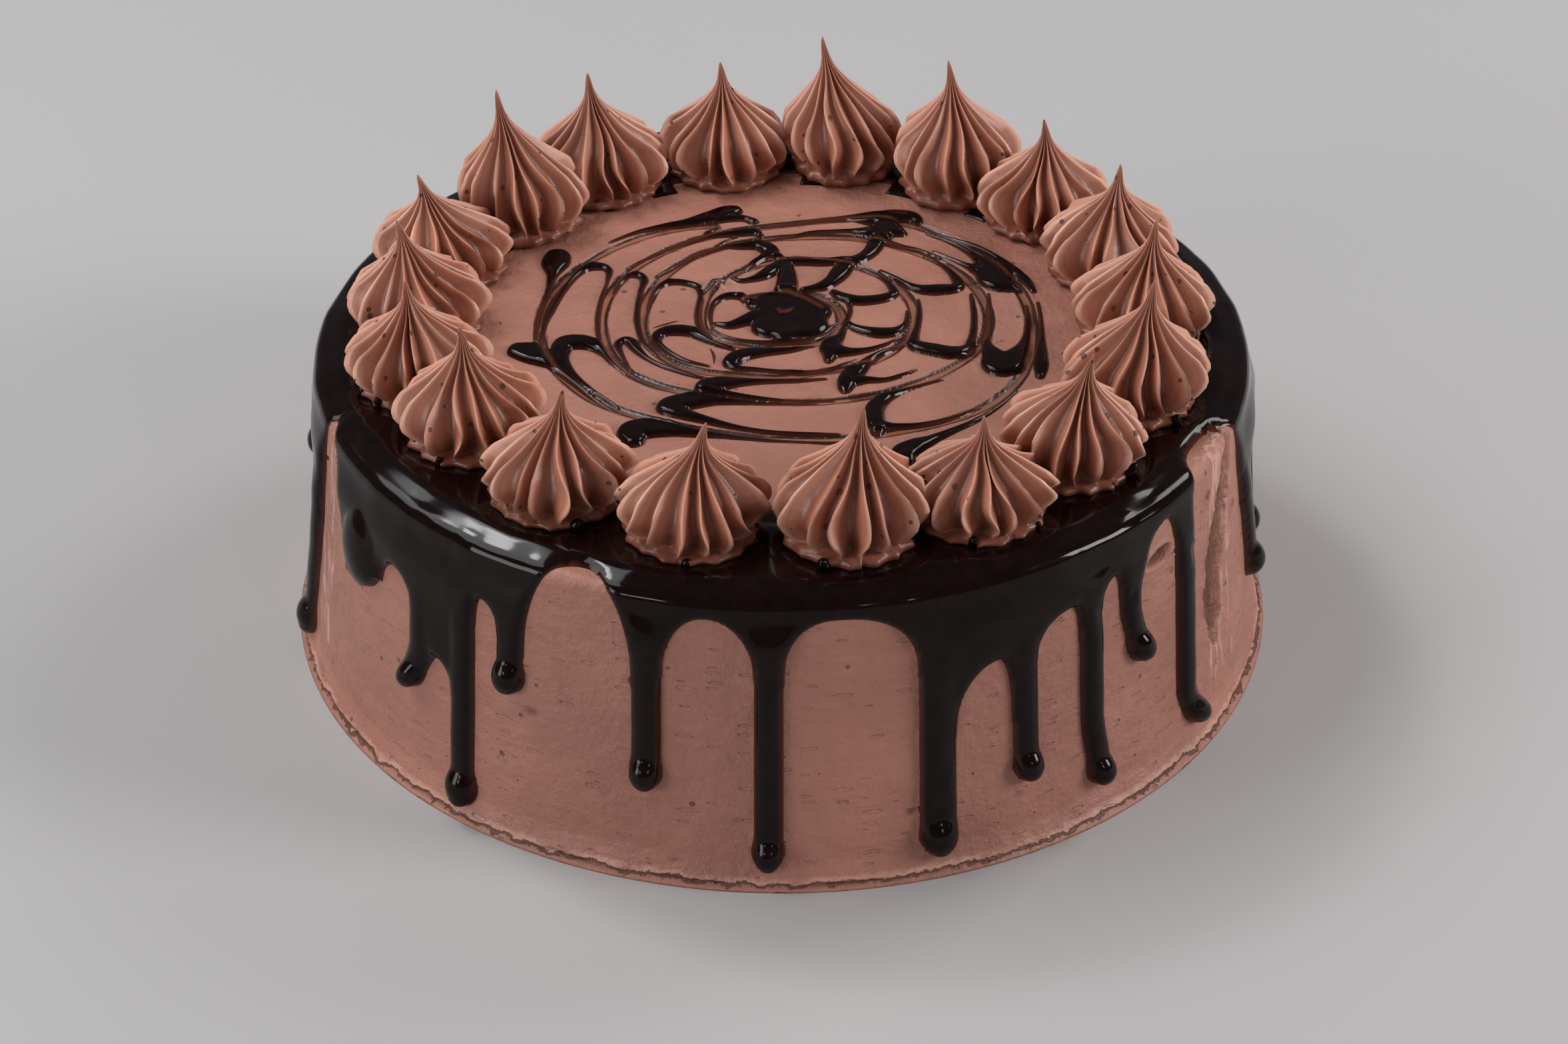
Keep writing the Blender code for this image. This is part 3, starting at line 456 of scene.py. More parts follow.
def groove_fields(x, y):
    """Distance out from the spiral groove, and how fresh its smear is: 1 just after a spoke."""
    radius = np.hypot(x, y)
    degrees = np.degrees(np.arctan2(y, x))
    turned = (degrees - SPIRAL_START_DEG) % 360.0
    across = np.full(radius.shape, 99.0)
    for turn in range(len(SPIRAL_TURNS)):
        place = turned + 360.0 * turn
        track = spiral_radius(place)
        slope = np.degrees(spiral_radius(place + 2.0) - track) / (2.0 * np.maximum(track, 3.0))
        here = (radius - track) / np.sqrt(1.0 + slope ** 2)
        if turn == 0:
            here = np.where(turned < SPIRAL_FIRST_DEG, 99.0, here)
        if turn == len(SPIRAL_TURNS) - 1:
            here = np.where(turned > SPIRAL_LAST_DEG, 99.0, here)
        across = np.where(np.abs(here) < np.abs(across), here, across)
    since = np.full(radius.shape, 360.0)
    for spoke_deg in SPOKE_DEGS:
        since = np.minimum(since, (degrees - spoke_deg) % 360.0)
    return across, np.exp(-(since / 30.0) ** 2)


def web_lift(x, y):
    """Relief of the spiral groove on the top: a smooth trough with low lips."""
    distance = np.abs(groove_fields(x, y)[0])
    trough = np.clip(1.0 - (distance / GROOVE_HALF_WIDTH) ** 2, 0.0, None) ** 1.5
    return 0.22 * np.exp(-((distance - GROOVE_HALF_WIDTH - 0.5) / 0.55) ** 2) - GROOVE_DEPTH * trough


def body_grid():
    """Angles and heights of the body's grid, from the base in to the middle of the top."""
    around = np.concatenate((np.arange(DENSE_FROM, DENSE_TO, 0.25),
                             np.linspace(DENSE_TO, 360.0 + DENSE_FROM, 510)[:-1]))
    down = np.concatenate((np.linspace(CENTRE - 0.5, CENTRE - 66.0, 120),
                           np.linspace(CENTRE - 68.0, EDGE_END + 1.0, 18),
                           np.linspace(EDGE_END, SIDE_TOP, 7),
                           np.linspace(SIDE_TOP - 0.8, 50.0, 40),
                           np.linspace(49.3, 6.6, 58),
                           (5.6, 4.8, 4.0, 3.4, 2.9, 2.5, 2.1, 1.7, 1.3, 0.9, 0.45, 0.0)))
    return np.meshgrid(around, down[::-1])


def make_body(material):
    """The frosted body: a fine turned grid with its unevenness, marks, crack and dragged groove."""
    degrees, up = body_grid()
    flat = skin_point(degrees, up, 0.0)
    x, y = flat[..., 0], flat[..., 1]
    on_top = up > CENTRE - WEB_ZONE
    torn = TEAR_HEIGHT * smoothstep(-0.5, 0.8, line_depth(x, y, TEARS))
    marks = mark_lift(degrees, up)
    skirt = skirt_lift(degrees, up)
    lift = skin_lift(degrees, up) + np.where(on_top, web_lift(x, y) + torn, 0.0) + marks + skirt
    points = skin_point(degrees, up, lift)
    across, fresh = groove_fields(x, y)
    ragged = np.abs(across) + 0.2 * waves(flat, 5.0, 6, 21)
    smear = smoothstep(-GROOVE_HALF_WIDTH - 0.5, -GROOVE_HALF_WIDTH + 0.3, -ragged)
    values = {
        "smear": np.where(on_top, smear, 0.0) * (0.55 + 0.45 * fresh),
        # How deep the marks and the crack go, used for painted shade in the frosting's colour and for its
        # roughness.
        "dent": np.clip(-(marks + 1.8 * skirt) / 2.2, 0.0, 1.0),
        "away": np.minimum(np.abs(across), 5.0),
        "scraped": scraped_share(degrees, up),
    }
    values = {label: np.append(value.ravel(), (0.0, 0.0)) for label, value in values.items()}
    middle_height = float(points[-1, :, 2].mean())
    all_points, faces = closed_tube(points, (0.0, 0.0, 0.0), (0.0, 0.0, middle_height))
    body = mesh_object("frosting_body", all_points, faces, material, values)
    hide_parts("cake")


def scraped_share(degrees, up):
    """1 on the two bare patches whose frosting was dragged upright, 0 elsewhere."""
    patch = np.zeros(degrees.shape)
    for middle, half in SCRAPED:
        patch = np.maximum(patch, smoothstep(-half - 1.5, -half + 1.5, -np.abs(wrap_deg(degrees - middle))))
    return patch * smoothstep(5.0, 12.0, up) * smoothstep(-73.5, -71.0, -up)


def skirt_lift(degrees, up):
    """The crack just above the base, where the frosting was scraped off its foot, and its lip."""
    ring = polar(BASE_RADIUS, degrees, 0.0)
    crack = 1.1 + 0.3 * waves(ring, 40.0, 5, 31)
    crack = crack + 0.12 * waves(ring, 8.0, 5, 32) + 0.12 * waves(ring, 3.5, 5, 34)
    depth = 0.6 + 0.3 * waves(ring, 30.0, 5, 33)
    lip = 0.12 + 0.2 * waves(ring, 5.0, 5, 35)
    lift = lip * np.exp(-((up - crack - 0.9) / 0.4) ** 2) - depth * np.exp(-((up - crack) / 0.32) ** 2)
    return np.where((up > 0.3) & (up < 8.0), lift, 0.0)


def mark_lift(degrees, up):
    """Pits and a crater, pressed into the side, and the long gash."""
    lift = np.zeros(degrees.shape)
    for mark_deg, height, half_width, half_height, depth, tilt in MARKS:
        across = np.radians(wrap_deg(degrees - mark_deg)) * SHOULDER_RADIUS
        rise = up - height
        turn = math.radians(tilt)
        along = across * math.cos(turn) + rise * math.sin(turn)
        over = rise * math.cos(turn) - across * math.sin(turn)
        ring = np.sqrt((along / half_width) ** 2 + (over / half_height) ** 2)
        lift -= depth * np.exp(-ring ** 5)
        lift += 0.15 * depth * np.exp(-((ring - 1.35) / 0.25) ** 2)
    return lift + gash_lift(degrees, up)


def gash_lift(degrees, up):
    """The gash at the right: a torn groove with low lips, from point to point down the side."""
    lift = np.zeros(degrees.shape)
    for (a_deg, a_up, a_half), (b_deg, b_up, b_half) in zip(GASH, GASH[1:]):
        share = np.clip((a_up - up) / (a_up - b_up), 0.0, 1.0)
        inside = (up <= a_up) & (up > b_up)
        middle = a_deg + (b_deg - a_deg) * share
        half = a_half + (b_half - a_half) * share
        across = np.radians(wrap_deg(degrees - middle)) * SHOULDER_RADIUS
        torn = across + 0.4 * np.sin(0.9 * up) + 0.2 * np.sin(2.7 * up + 1.0)
        groove = -min(GASH_DEPTH, 0.5 * max(a_half, b_half)) * np.exp(-np.abs(torn / half) ** 2.6)
        lip = 0.1 * half * np.exp(-((np.abs(torn) - 1.25 * half) / 0.6) ** 2)
        lift += np.where(inside, groove + lip, 0.0)
    return lift


def curve_through(points):
    """Close places on a smooth curve through the points: x, y and half width."""
    rows = np.array(points)
    rows = np.concatenate((2 * rows[:1] - rows[1:2], rows, 2 * rows[-1:] - rows[-2:-1]))
    pieces = []
    for before, start, end, after in zip(rows, rows[1:], rows[2:], rows[3:]):
        steps = max(2, int(np.hypot(*(end - start)[:2]) / 0.3))
        share = np.linspace(0.0, 1.0, steps, endpoint=False)[:, None]
        first = end - before
        second = 2 * before - 5 * start + 4 * end - after
        third = 3 * start - before - 3 * end + after
        pieces.append(start + (first * share + second * share ** 2 + third * share ** 3) / 2)
    return np.concatenate(pieces)


def line_depth(x, y, lines):
    """Depth inside the nearest of a few lines."""
    depth = np.full(x.shape, -9.0)
    for centre_x, centre_y, half in (place for line in lines for place in curve_through(line)):
        depth = np.maximum(depth, half - np.hypot(x - centre_x, y - centre_y))
    return depth


def web_height(x, y):
    """How far the strokes and the pool stand up; below zero beside them."""
    inside = np.full(x.shape, -9.0)
    wide = np.ones(x.shape)
    for centre_x, centre_y, half in (place for stroke in WEB_STROKES for place in curve_through(stroke)):
        first_row = int((centre_y - half - 1.0 - y[0, 0]) / WEB_CELL)
        first_column = int((centre_x - half - 1.0 - x[0, 0]) / WEB_CELL)
        count = int((2 * half + 2.0) / WEB_CELL) + 2
        window = (slice(first_row, first_row + count), slice(first_column, first_column + count))
        here = half - np.hypot(x[window] - centre_x, y[window] - centre_y)
        wide[window] = np.where(here > inside[window], half, wide[window])
        inside[window] = np.maximum(inside[window], here)
    for centre_x, centre_y, half in POOL:
        here = half - np.hypot(x - centre_x, y - centre_y)
        wide = np.where(here > inside, half, wide)
        inside = smooth_max(inside, here, 1.0)
    raised = np.minimum(0.35 + 0.5 * wide, WEB_HEIGHT) * dome(inside / np.minimum(wide, WEB_RIM))
    return settle(np.where(inside > 0, raised, np.maximum(1.2 * inside, -SUNK)))


def settle(height):
    """Softens the raised part of a height field, three times over."""
    for _ in range(3):
        middle = height[1:-1, 1:-1]
        around = (height[:-2, 1:-1] + height[2:, 1:-1] + height[1:-1, :-2] + height[1:-1, 2:]) / 4
        height[1:-1, 1:-1] = np.where(middle > 0.05, 0.5 * middle + 0.5 * around, middle)
    return height


def make_web(material):
    """The dark web on the top: a sheet that stands up in the strokes and dips under the frosting beside."""
    axis = np.arange(-WEB_REACH, WEB_REACH + WEB_CELL / 2, WEB_CELL)
    x, y = np.meshgrid(axis, axis)
    height = web_height(x, y)
    drawn = line_depth(x, y, POOL_LINES)
    height = np.where(height > 0.0, height + 0.35 * smoothstep(-0.7, 0.4, drawn), height)
    keep = fill_pinches(highest_corner(height) > -0.1)
    base = TOP_HEIGHT + skin_lift(np.degrees(np.arctan2(y, x)), CENTRE - np.hypot(x, y)) + web_lift(x, y)
    top = np.stack((x, y, base + height), axis=-1)
    bottom = np.stack((x, y, np.full(x.shape, TOP_HEIGHT - 2.2)), axis=-1)
    points, faces, used = closed_sheet(top, bottom, keep, False)
    dragged = smoothstep(-0.9, -0.2, -np.abs(groove_fields(x, y)[0]))
    thin = np.maximum(smoothstep(-0.75, -0.15, -height), np.maximum(dragged, smoothstep(-0.3, 0.3, drawn)))
    web = mesh_object("ganache_web", points, faces, material, {"thin": np.tile(thin.ravel()[used], 2)})


def drip_centre(drip, up):
    """Angle of a drip's middle at a height."""
    tip_deg, head_deg, lean_over, tip, _, _ = drip
    return tip_deg + (head_deg - tip_deg) * smoothstep(tip, tip + lean_over, up)


def arc(degrees, up):
    """Length along the skin of an angle at a height."""
    radius = np.where(up > EDGE_END, CENTRE - up, np.minimum(side_radius(up), SHOULDER_RADIUS))
    return np.radians(wrap_deg(degrees)) * radius


def arch_depth(index, degrees, up):
    """How far inside a bare arch a place is; negative in the ganache round it."""
    before, after = DRIPS[index], DRIPS[(index + 1) % len(DRIPS)]
    top_deg, top, fall, power = ARCHES[index]
    across = arc(degrees - top_deg, up)
    left = -arc(drip_centre(before, up) - top_deg, up) - before[4]
    right = arc(drip_centre(after, up) - top_deg, up) - after[4]
    half = np.maximum(np.where(across < 0, left, right), 0.5)
    rise = np.maximum(up - (top - fall), 0.0)
    side = np.abs(across) / half
    ring = (side ** power + (rise / fall) ** power) ** (1.0 / power)
    slope = np.hypot(side ** (power - 1) / half, (rise / fall) ** (power - 1) / fall)
    slope = slope / np.maximum(ring, 1e-3) ** (power - 1)
    return (1.0 - ring) / np.maximum(slope, 0.02)


def collar_inner_radius(degrees):
    """Uneven inner edge of the ganache on the top, mostly under the peaks."""
    return COLLAR_INNER_RADIUS + 1.6 * waves(polar(COLLAR_INNER_RADIUS, degrees, 0.0), 26.0, 6, 41)


def collar_fields(degrees, up):
    """Depths inside the whole outline and inside the band, and shares across the nearest run and bulb."""
    band = np.minimum(CENTRE - collar_inner_radius(degrees) - up, lower_limit(degrees, up))
    for index in range(len(DRIPS)):
        band = np.minimum(band, -arch_depth(index, degrees, up))
    run = np.full(degrees.shape, -99.0)
    bulb = np.full(degrees.shape, -99.0)
    run_share = np.zeros(degrees.shape)
    bulb_share = np.zeros(degrees.shape)
    for drip in DRIPS:
        _, _, _, tip, half, bulb_half = drip
        bulb_height = BULB_STRETCH * bulb_half
        over = up - tip - bulb_height
        across = arc(degrees - drip_centre(drip, up), up)
        here = half - np.hypot(across, np.minimum(over, 0.0))
        k0 = np.maximum(np.hypot(across / bulb_half, over / bulb_height), 1e-4)
        k1 = np.maximum(np.hypot(across / bulb_half ** 2, over / bulb_height ** 2), 1e-6)
        blob = k0 * (1.0 - k0) / k1
        run_share = np.where(here > run, here / half, run_share)
        run = np.maximum(run, here)
        bulb_share = np.where(blob > bulb, 1.0 - k0, bulb_share)
        bulb = np.maximum(bulb, blob)
    return smooth_max(smooth_max(run, bulb, 1.0), band, 1.0), band, run_share, bulb_share


def lower_limit(degrees, up):
    """Keeps the band off the bare side below the arches: the height over the nearest arch's springing."""
    limit = np.full(degrees.shape, -99.0)
    for index, (_, top, fall, _) in enumerate(ARCHES):
        before, after = DRIPS[index], DRIPS[(index + 1) % len(DRIPS)]
        start = wrap_deg(degrees - before[1])
        inside = (start >= 0) & (start <= (after[1] - before[1]) % 360.0)
        limit = np.where(inside, up - (top - fall), limit)
    return limit


def collar_depth(degrees, up):
    """Depth inside the collar's whole outline; negative on bare frosting."""
    return collar_fields(degrees, up)[0]


def dome(share):
    """Height share of a rounded edge: 0 at its border, 1 from its middle on."""
    return np.sqrt(1.0 - (1.0 - np.clip(share, 0.0, 1.0)) ** 2)


def foot_distance(points):
    """Distance from the middle of the nearest peak's foot."""
    nearest = np.full(points.shape[:-1], 99.0)
    for foot_x, foot_y, *_ in peaks():
        nearest = np.minimum(nearest, np.hypot(points[..., 0] - foot_x, points[..., 1] - foot_y))
    return nearest


def collar_lift(degrees, up):
    """How far the ganache stands off the frosting."""
    depth, band, run_share, bulb_share = collar_fields(degrees, up)
    points = skin_point(degrees, up, 0.0)
    thick = BAND_THICKNESS * (1.0 + 0.10 * waves(points, 22.0, 7, 51))
    on_top = smoothstep(EDGE_END - 2.0, EDGE_END + 2.0, up)
    thick = thick * (1.0 - 0.5 * on_top * smoothstep(19.0, 14.0, foot_distance(points)))
    shoulder = smoothstep(SIDE_TOP - 9.0, SIDE_TOP + 0.5, up)
    shoulder = shoulder * smoothstep(-EDGE_END - 4.5, -EDGE_END + 1.5, -up)
    thick = thick * (1.0 - 0.78 * shoulder) + 0.2 * shoulder * waves(points, 13.0, 7, 52)
    fade = smoothstep(46.0, 64.0, up)
    lift = thick * dome(band / BAND_EDGE)
    lift = smooth_max(lift, RUN_THICKNESS * (1.0 - 0.9 * fade) * dome(run_share), 0.8)
    lift = smooth_max(lift, BULB_THICKNESS * dome(bulb_share), 0.9)
    return np.where(depth > 0.0, lift * dome(depth / 0.8), np.maximum(2.5 * depth, -SUNK))


def collar_grid():
    """Angles and heights of the collar's grid, with the places beside the outline moved onto it."""
    rows = np.concatenate((np.arange(1.0, SIDE_TOP, COLLAR_CELL), np.linspace(SIDE_TOP, EDGE_END, 7)[:-1],
                           np.arange(EDGE_END, CENTRE - COLLAR_INNER_RADIUS + 5.0, 1.3)))
    degrees, up = np.meshgrid(np.arange(COLLAR_COLUMNS) * 360.0 / COLLAR_COLUMNS, rows)
    per_degree = math.radians(SHOULDER_RADIUS)
    for _ in range(2):
        depth = collar_depth(degrees, up)
        slope_x = (collar_depth(degrees + 0.1, up) - depth) / (0.1 * per_degree)
        slope_y = (collar_depth(degrees, up + 0.15) - depth) / 0.15
        steep = np.maximum(slope_x ** 2 + slope_y ** 2, 0.2)
        near = (np.abs(depth) < 0.5 * COLLAR_CELL) & (up < EDGE_END + 6.0)
        degrees = degrees - np.where(near, depth * slope_x / steep, 0.0) / per_degree
        up = up - np.where(near, depth * slope_y / steep, 0.0)
    return degrees, up


def make_collar(material):
    """The ganache collar and its drips: a sheet over the skin, cut along its outline."""
    degrees, up = collar_grid()
    depth = collar_depth(degrees, up)
    base = skin_lift(degrees, up)
    top = skin_point(degrees, up, base + collar_lift(degrees, up))
    bottom = skin_point(degrees, up, base - SUNK - SHEET_DEPTH)
    keep = fill_pinches(highest_corner(np.hstack((depth, depth[:, :1]))) > -0.05)
    points, faces, used = closed_sheet(top, bottom, keep, True)
    thin = np.tile(smoothstep(-0.6, -0.1, -depth).ravel()[used], 2)
    collar = mesh_object("ganache_collar", points, faces, material, {"thin": thin})
    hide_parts("ganache")


@functools.cache
def peaks():
    """Foot, angle, height and lean of each peak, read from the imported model."""
    found = []
    for index in range(PEAK_COUNT):
        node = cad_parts[f"piped_peak_{index + 1:02d}"]
        corners = np.array([vertex.co for vertex in node.data.vertices]) / MM
        tip = corners[corners[:, 2].argmax()]
        foot = corners[corners[:, 2] < corners[:, 2].min() + 0.1].mean(axis=0)
        angle = math.degrees(math.atan2(foot[1], foot[0]))
        found.append((foot[0], foot[1], angle, tip[2] - PEAK_FLOOR, tip[0] - foot[0], tip[1] - foot[1]))
    return found


def periodic(amount, rng):
    """An uneven closed curve: one random value a crest, joined smoothly round the peak."""
    values = rng.uniform(-amount, amount, CREST_COUNT)
    place = np.arange(PEAK_COLUMNS) / COLUMNS_PER_CREST
    low = place.astype(int)
    share = smoothstep(0.0, 1.0, place - low)
    return values[low] * (1.0 - share) + values[(low + 1) % CREST_COUNT] * share


def crest_angles(place, level, rng):
    """Degrees round a peak's axis: crests at uneven distances, twisted and a little wavy."""
    spread = 360.0 / CREST_COUNT
    degrees = spread * place + periodic(0.28 * spread, rng) * smoothstep(0.0, 0.3, level)
    degrees = degrees - TWIST_DEG * level + rng.uniform(-4.0, 4.0) * np.sin(2 * math.pi * level)
    wave = np.sin(3 * math.pi * np.clip(level / 0.7, 0.0, 1.0))
    return degrees + periodic(0.22 * spread, rng) * wave


def crest_radii(index, place, level, hollow, rng):
    """Distances from a peak's axis: uneven crests with hollows between them."""
    radius = np.interp(level, PEAK_PROFILE[:, 0], PEAK_PROFILE[:, 1]) * PEAK_WIDTHS.get(index + 1, 1.0)
    groove = np.interp(level, PEAK_PROFILE[:, 0], PEAK_PROFILE[:, 2])
    radius = radius * (1.0 + periodic(0.045, rng) * np.sin(math.pi * level) ** 0.7)
    groove = groove * (1.0 + periodic(0.35, rng))
    bumps = waves(np.stack((place * 2.2, level * 9.0, place * 0), axis=-1), 5.0, 5, 300 + index)
    return radius * (1.0 + 0.03 * bumps) * (1.0 - groove * hollow)


def make_peak(index, material):
    """One piped swirl: sharp crests with hollow panels between, a second layer at the foot, a bent tip."""
    foot_x, foot_y, here, height, lean_x, lean_y = peaks()[index]
    rng = np.random.default_rng(100 + index)
    share = np.concatenate((np.linspace(0.0, 0.12, 13)[:-1], np.linspace(0.12, 0.8, 34)[:-1],
                            np.linspace(0.8, 0.995, 12)))
    column, level = np.meshgrid(np.arange(PEAK_COLUMNS), share)
    place = column / COLUMNS_PER_CREST
    place = place - 0.10 * np.sin(2 * math.pi * place)
    layer = smoothstep(0.065, 0.09, level)
    first_layer = np.abs(np.sin(math.pi * (place + 0.5)))
    hollow = first_layer * (1.0 - layer) + np.abs(np.sin(math.pi * place)) ** 0.68 * layer
    angle = np.radians(here + crest_angles(place, level, rng))
    radius = crest_radii(index, place, level, hollow, rng)
    uneven = periodic(0.5, rng) * np.exp(-((level - 0.13) / 0.06) ** 2)
    bend_x, bend_y = rng.normal(0.0, 0.9, 2)
    curve = np.sin(math.pi * level) * level ** 3
    x = foot_x + radius * np.cos(angle) + lean_x * level ** 1.5 + bend_x * curve
    y = foot_y + radius * np.sin(angle) + lean_y * level ** 1.5 + bend_y * curve
    z = PEAK_FLOOR + np.maximum(height * level + uneven, 0.0)
    points = np.stack((*press_together(x, y, index), z), axis=-1)
    tip = (foot_x + lean_x, foot_y + lean_y, PEAK_FLOOR + height)
    all_points, faces = closed_tube(points, (foot_x, foot_y, PEAK_FLOOR), tip)
    # Share of crest, which the piped material uses for painted highlights on the crests and painted shade
    # in the hollows.
    crest = np.append(((1.0 - hollow) * layer).ravel(), (0.0, 1.0))
    peak = mesh_object(f"peak_{index + 1:02d}", all_points, faces, material, {"crest": crest})
    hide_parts(f"piped_peak_{index + 1:02d}")


def press_together(x, y, index):
    """Flattens a peak softly where it meets its neighbours."""
    here = peaks()[index][2]
    half_after = wrap_deg(peaks()[(index + 1) % PEAK_COUNT][2] - here) / 2
    half_before = wrap_deg(here - peaks()[index - 1][2]) / 2
    radius = np.hypot(x, y)
    offset = wrap_deg(np.degrees(np.arctan2(y, x)) - here)
    over = np.maximum(offset - half_after, 0.0)
    under = np.maximum(-half_before - offset, 0.0)
    offset = offset - 0.6 * over + 0.6 * under
    angle = np.radians(here + offset)
    return radius * np.cos(angle), radius * np.sin(angle)


def bead_rows(x, y, angle, wide, tall):
    """Rows of points of one teardrop, from its foot up, which leans out."""
    column, level = np.meshgrid(np.arange(10) * 36.0, np.linspace(0.02, 0.98, 8))
    radius = wide * np.sin(math.pi * level ** 0.55) ** 0.6
    rows = polar(radius, column, PEAK_FLOOR + 0.3 + tall * level)
    lean = 0.25 * tall * level ** 2
    rows[..., 0] += x + lean * math.cos(angle)
    rows[..., 1] += y + lean * math.sin(angle)
    return rows


def make_beads(material):
    """Teardrops of ganache that were squeezed up between the crests at the outer feet of the peaks."""
    rng = np.random.default_rng(77)
    points, faces, start = [], [], 0
    for foot_x, foot_y, here, *_ in peaks():
        for crest in range(CREST_COUNT):
            out = (crest + 0.5) * 360.0 / CREST_COUNT
            if abs(wrap_deg(out)) > 115.0 or rng.uniform() < 0.5:
                continue
            wide = rng.uniform(0.7, 1.8)
            tall = wide * rng.uniform(1.3, 2.8)
            reach = rng.uniform(12.9, 14.3)
            angle = math.radians(here + out + rng.uniform(-4.0, 4.0))
            x, y = foot_x + reach * math.cos(angle), foot_y + reach * math.sin(angle)
            rows = bead_rows(x, y, angle, wide, tall)
            bead, bead_faces = closed_tube(rows, rows[0].mean(axis=0), rows[-1].mean(axis=0), start)
            points.append(bead)
            faces += bead_faces
            start += len(bead)
    beads = mesh_object("ganache_beads", np.concatenate(points), faces, material)


class Nodes:
    """A short way to add and link shader nodes."""

    def __init__(self, name):
        self.material = bpy.data.materials.new(name)
        self.material.use_nodes = True
        self.tree = self.material.node_tree
        self.shader = self.tree.nodes["Principled BSDF"]

    def add(self, kind, values=None, **settings):
        """A node with its settings and its input values or links."""
        node = self.tree.nodes.new(kind)
        for key, value in settings.items():
            setattr(node, key, value)
        for key, value in (values or {}).items():
            self.set(node.inputs[key], value)
        return node

    def set(self, socket, value):
        """Links an output to an input, or sets its value."""
        if isinstance(value, bpy.types.NodeSocket):
            self.tree.links.new(value, socket)
        else:
            socket.default_value = value

    def position(self, x=1.0, y=1.0, z=1.0):
        """Object coordinates in millimetres, scaled."""
        source = self.add("ShaderNodeTexCoord").outputs["Object"]
        scale = (x / MM, y / MM, z / MM)
        return self.add("ShaderNodeVectorMath", {0: source, 1: scale}, operation="MULTIPLY").outputs[0]

    def noise(self, vector, scale, detail, roughness):
        """Noise between about 0.3 and 0.7."""
        values = {"Vector": vector, "Scale": scale, "Detail": detail, "Roughness": roughness}
        return self.add("ShaderNodeTexNoise", values).outputs["Fac"]

    def math(self, operation, a, b=0.0):
        """One sum."""
        return self.add("ShaderNodeMath", {0: a, 1: b}, operation=operation).outputs[0]

    def times(self, a, b):
        """A product."""
        return self.math("MULTIPLY", a, b)

    def range(self, value, low, high, to_low=0.0, to_high=1.0):
        """Maps a range onto another, clamped."""
        values = {"Value": value, "From Min": low, "From Max": high, "To Min": to_low, "To Max": to_high}
        return self.add("ShaderNodeMapRange", values).outputs["Result"]

    def mix(self, share, a, b):
        """Mixes two colours, each an output or three values."""
        node = self.add("ShaderNodeMix", {0: share}, data_type="RGBA")
        for place, colour in ((6, a), (7, b)):
            self.set(node.inputs[place], (*colour, 1.0) if isinstance(colour, tuple) else colour)
        return node.outputs[2]

    def bumps(self, *layers):
        """Bumps over one another: the relief, its millimetres and the strength of each."""
        normal = None
        for relief, distance, strength in layers:
            values = {"Height": relief, "Distance": distance * MM, "Strength": strength}
            if normal is not None:
                values["Normal"] = normal
            normal = self.add("ShaderNodeBump", values).outputs["Normal"]
        return normal

    def attribute(self, name):
        """A value stored on the mesh."""
        return self.add("ShaderNodeAttribute", attribute_name=name).outputs["Fac"]

    def pits(self, vector, cell, size):
        """1 in sparse small pits, 0 elsewhere."""
        node = self.add("ShaderNodeTexVoronoi", {"Vector": vector, "Scale": 1.0 / cell, "Randomness": 1.0})
        chance = self.add("ShaderNodeSeparateColor", {"Color": node.outputs["Color"]}).outputs["Red"]
        limit = self.range(chance, 0.55, 1.0, 0.0, size / cell)
        return self.range(self.math("SUBTRACT", node.outputs["Distance"], limit), -0.03, 0.02, 1.0, 0.0)

    def shade(self, **values):
        """Links or sets the shader's inputs, named with underscores, and gives the material."""
        for name, value in values.items():
            self.set(self.shader.inputs[name.replace("_", " ")], value)
        return self.material


def track_colour(nodes, colour, smear):
    """Frosting with the brown streaks of the dragged groove and the thin dark borders beside it."""
    away = nodes.attribute("away")
    shift = nodes.add("ShaderNodeCombineXYZ", {"Z": nodes.times(away, 0.8)}).outputs[0]
    place = nodes.position(0.05, 0.05, 0.05)
    along = nodes.add("ShaderNodeVectorMath", {0: place, 1: shift}, operation="ADD").outputs[0]
    drawn = nodes.noise(along, 1.0, 4.0, 0.6)
    track = nodes.mix(nodes.range(drawn, 0.45, 0.60), (0.285, 0.098, 0.050), (0.085, 0.020, 0.009))
    away = nodes.math("ADD", away, nodes.range(drawn, 0.3, 0.7, -0.35, 0.35))
    edge = nodes.times(nodes.range(away, 0.4, 0.75), nodes.range(away, 1.2, 1.55, 0.95, 0.0))
    return nodes.mix(edge, nodes.mix(smear, colour, track), (0.016, 0.005, 0.004))


def scrape_highlight_and_dent_shade(nodes, colour, scrape_relief_and_highlight, dent):
    """Frosting with a painted highlight on the upright scrapes and painted shade inside the marks, darkest
    in the deepest.
    """
    # Painted highlight: the upright scrapes are lightened as if catching the light.
    colour = nodes.mix(nodes.range(scrape_relief_and_highlight, 0.50, 0.62, 0.0, 0.7), colour, (0.66, 0.38, 0.31))
    # Painted shade: the inside of the marks and the crack darkens with depth, and the deepest, the crater,
    # is darkest.
    colour = nodes.mix(nodes.range(dent, 0.05, 0.85, 0.0, 0.95), colour, (0.115, 0.041, 0.020))
    return nodes.mix(nodes.range(dent, 0.90, 0.98, 0.0, 0.9), colour, (0.060, 0.016, 0.007))


def crack_fields(nodes, still, height):
    """The ragged crack above the base, painted dark as shade, and the pale torn edge over it, a painted
    highlight.
    """
    ragged = nodes.range(nodes.noise(still, 0.22, 5.0, 0.7), 0.3, 0.7, -0.4, -2.0)
    over = nodes.math("ADD", height, ragged)
    crack = nodes.range(nodes.math("ABSOLUTE", over), 0.12, 0.38, 1.0, 0.0)
    return crack, nodes.times(nodes.range(over, 0.3, 0.5), nodes.range(over, 0.7, 1.5, 0.6, 0.0))


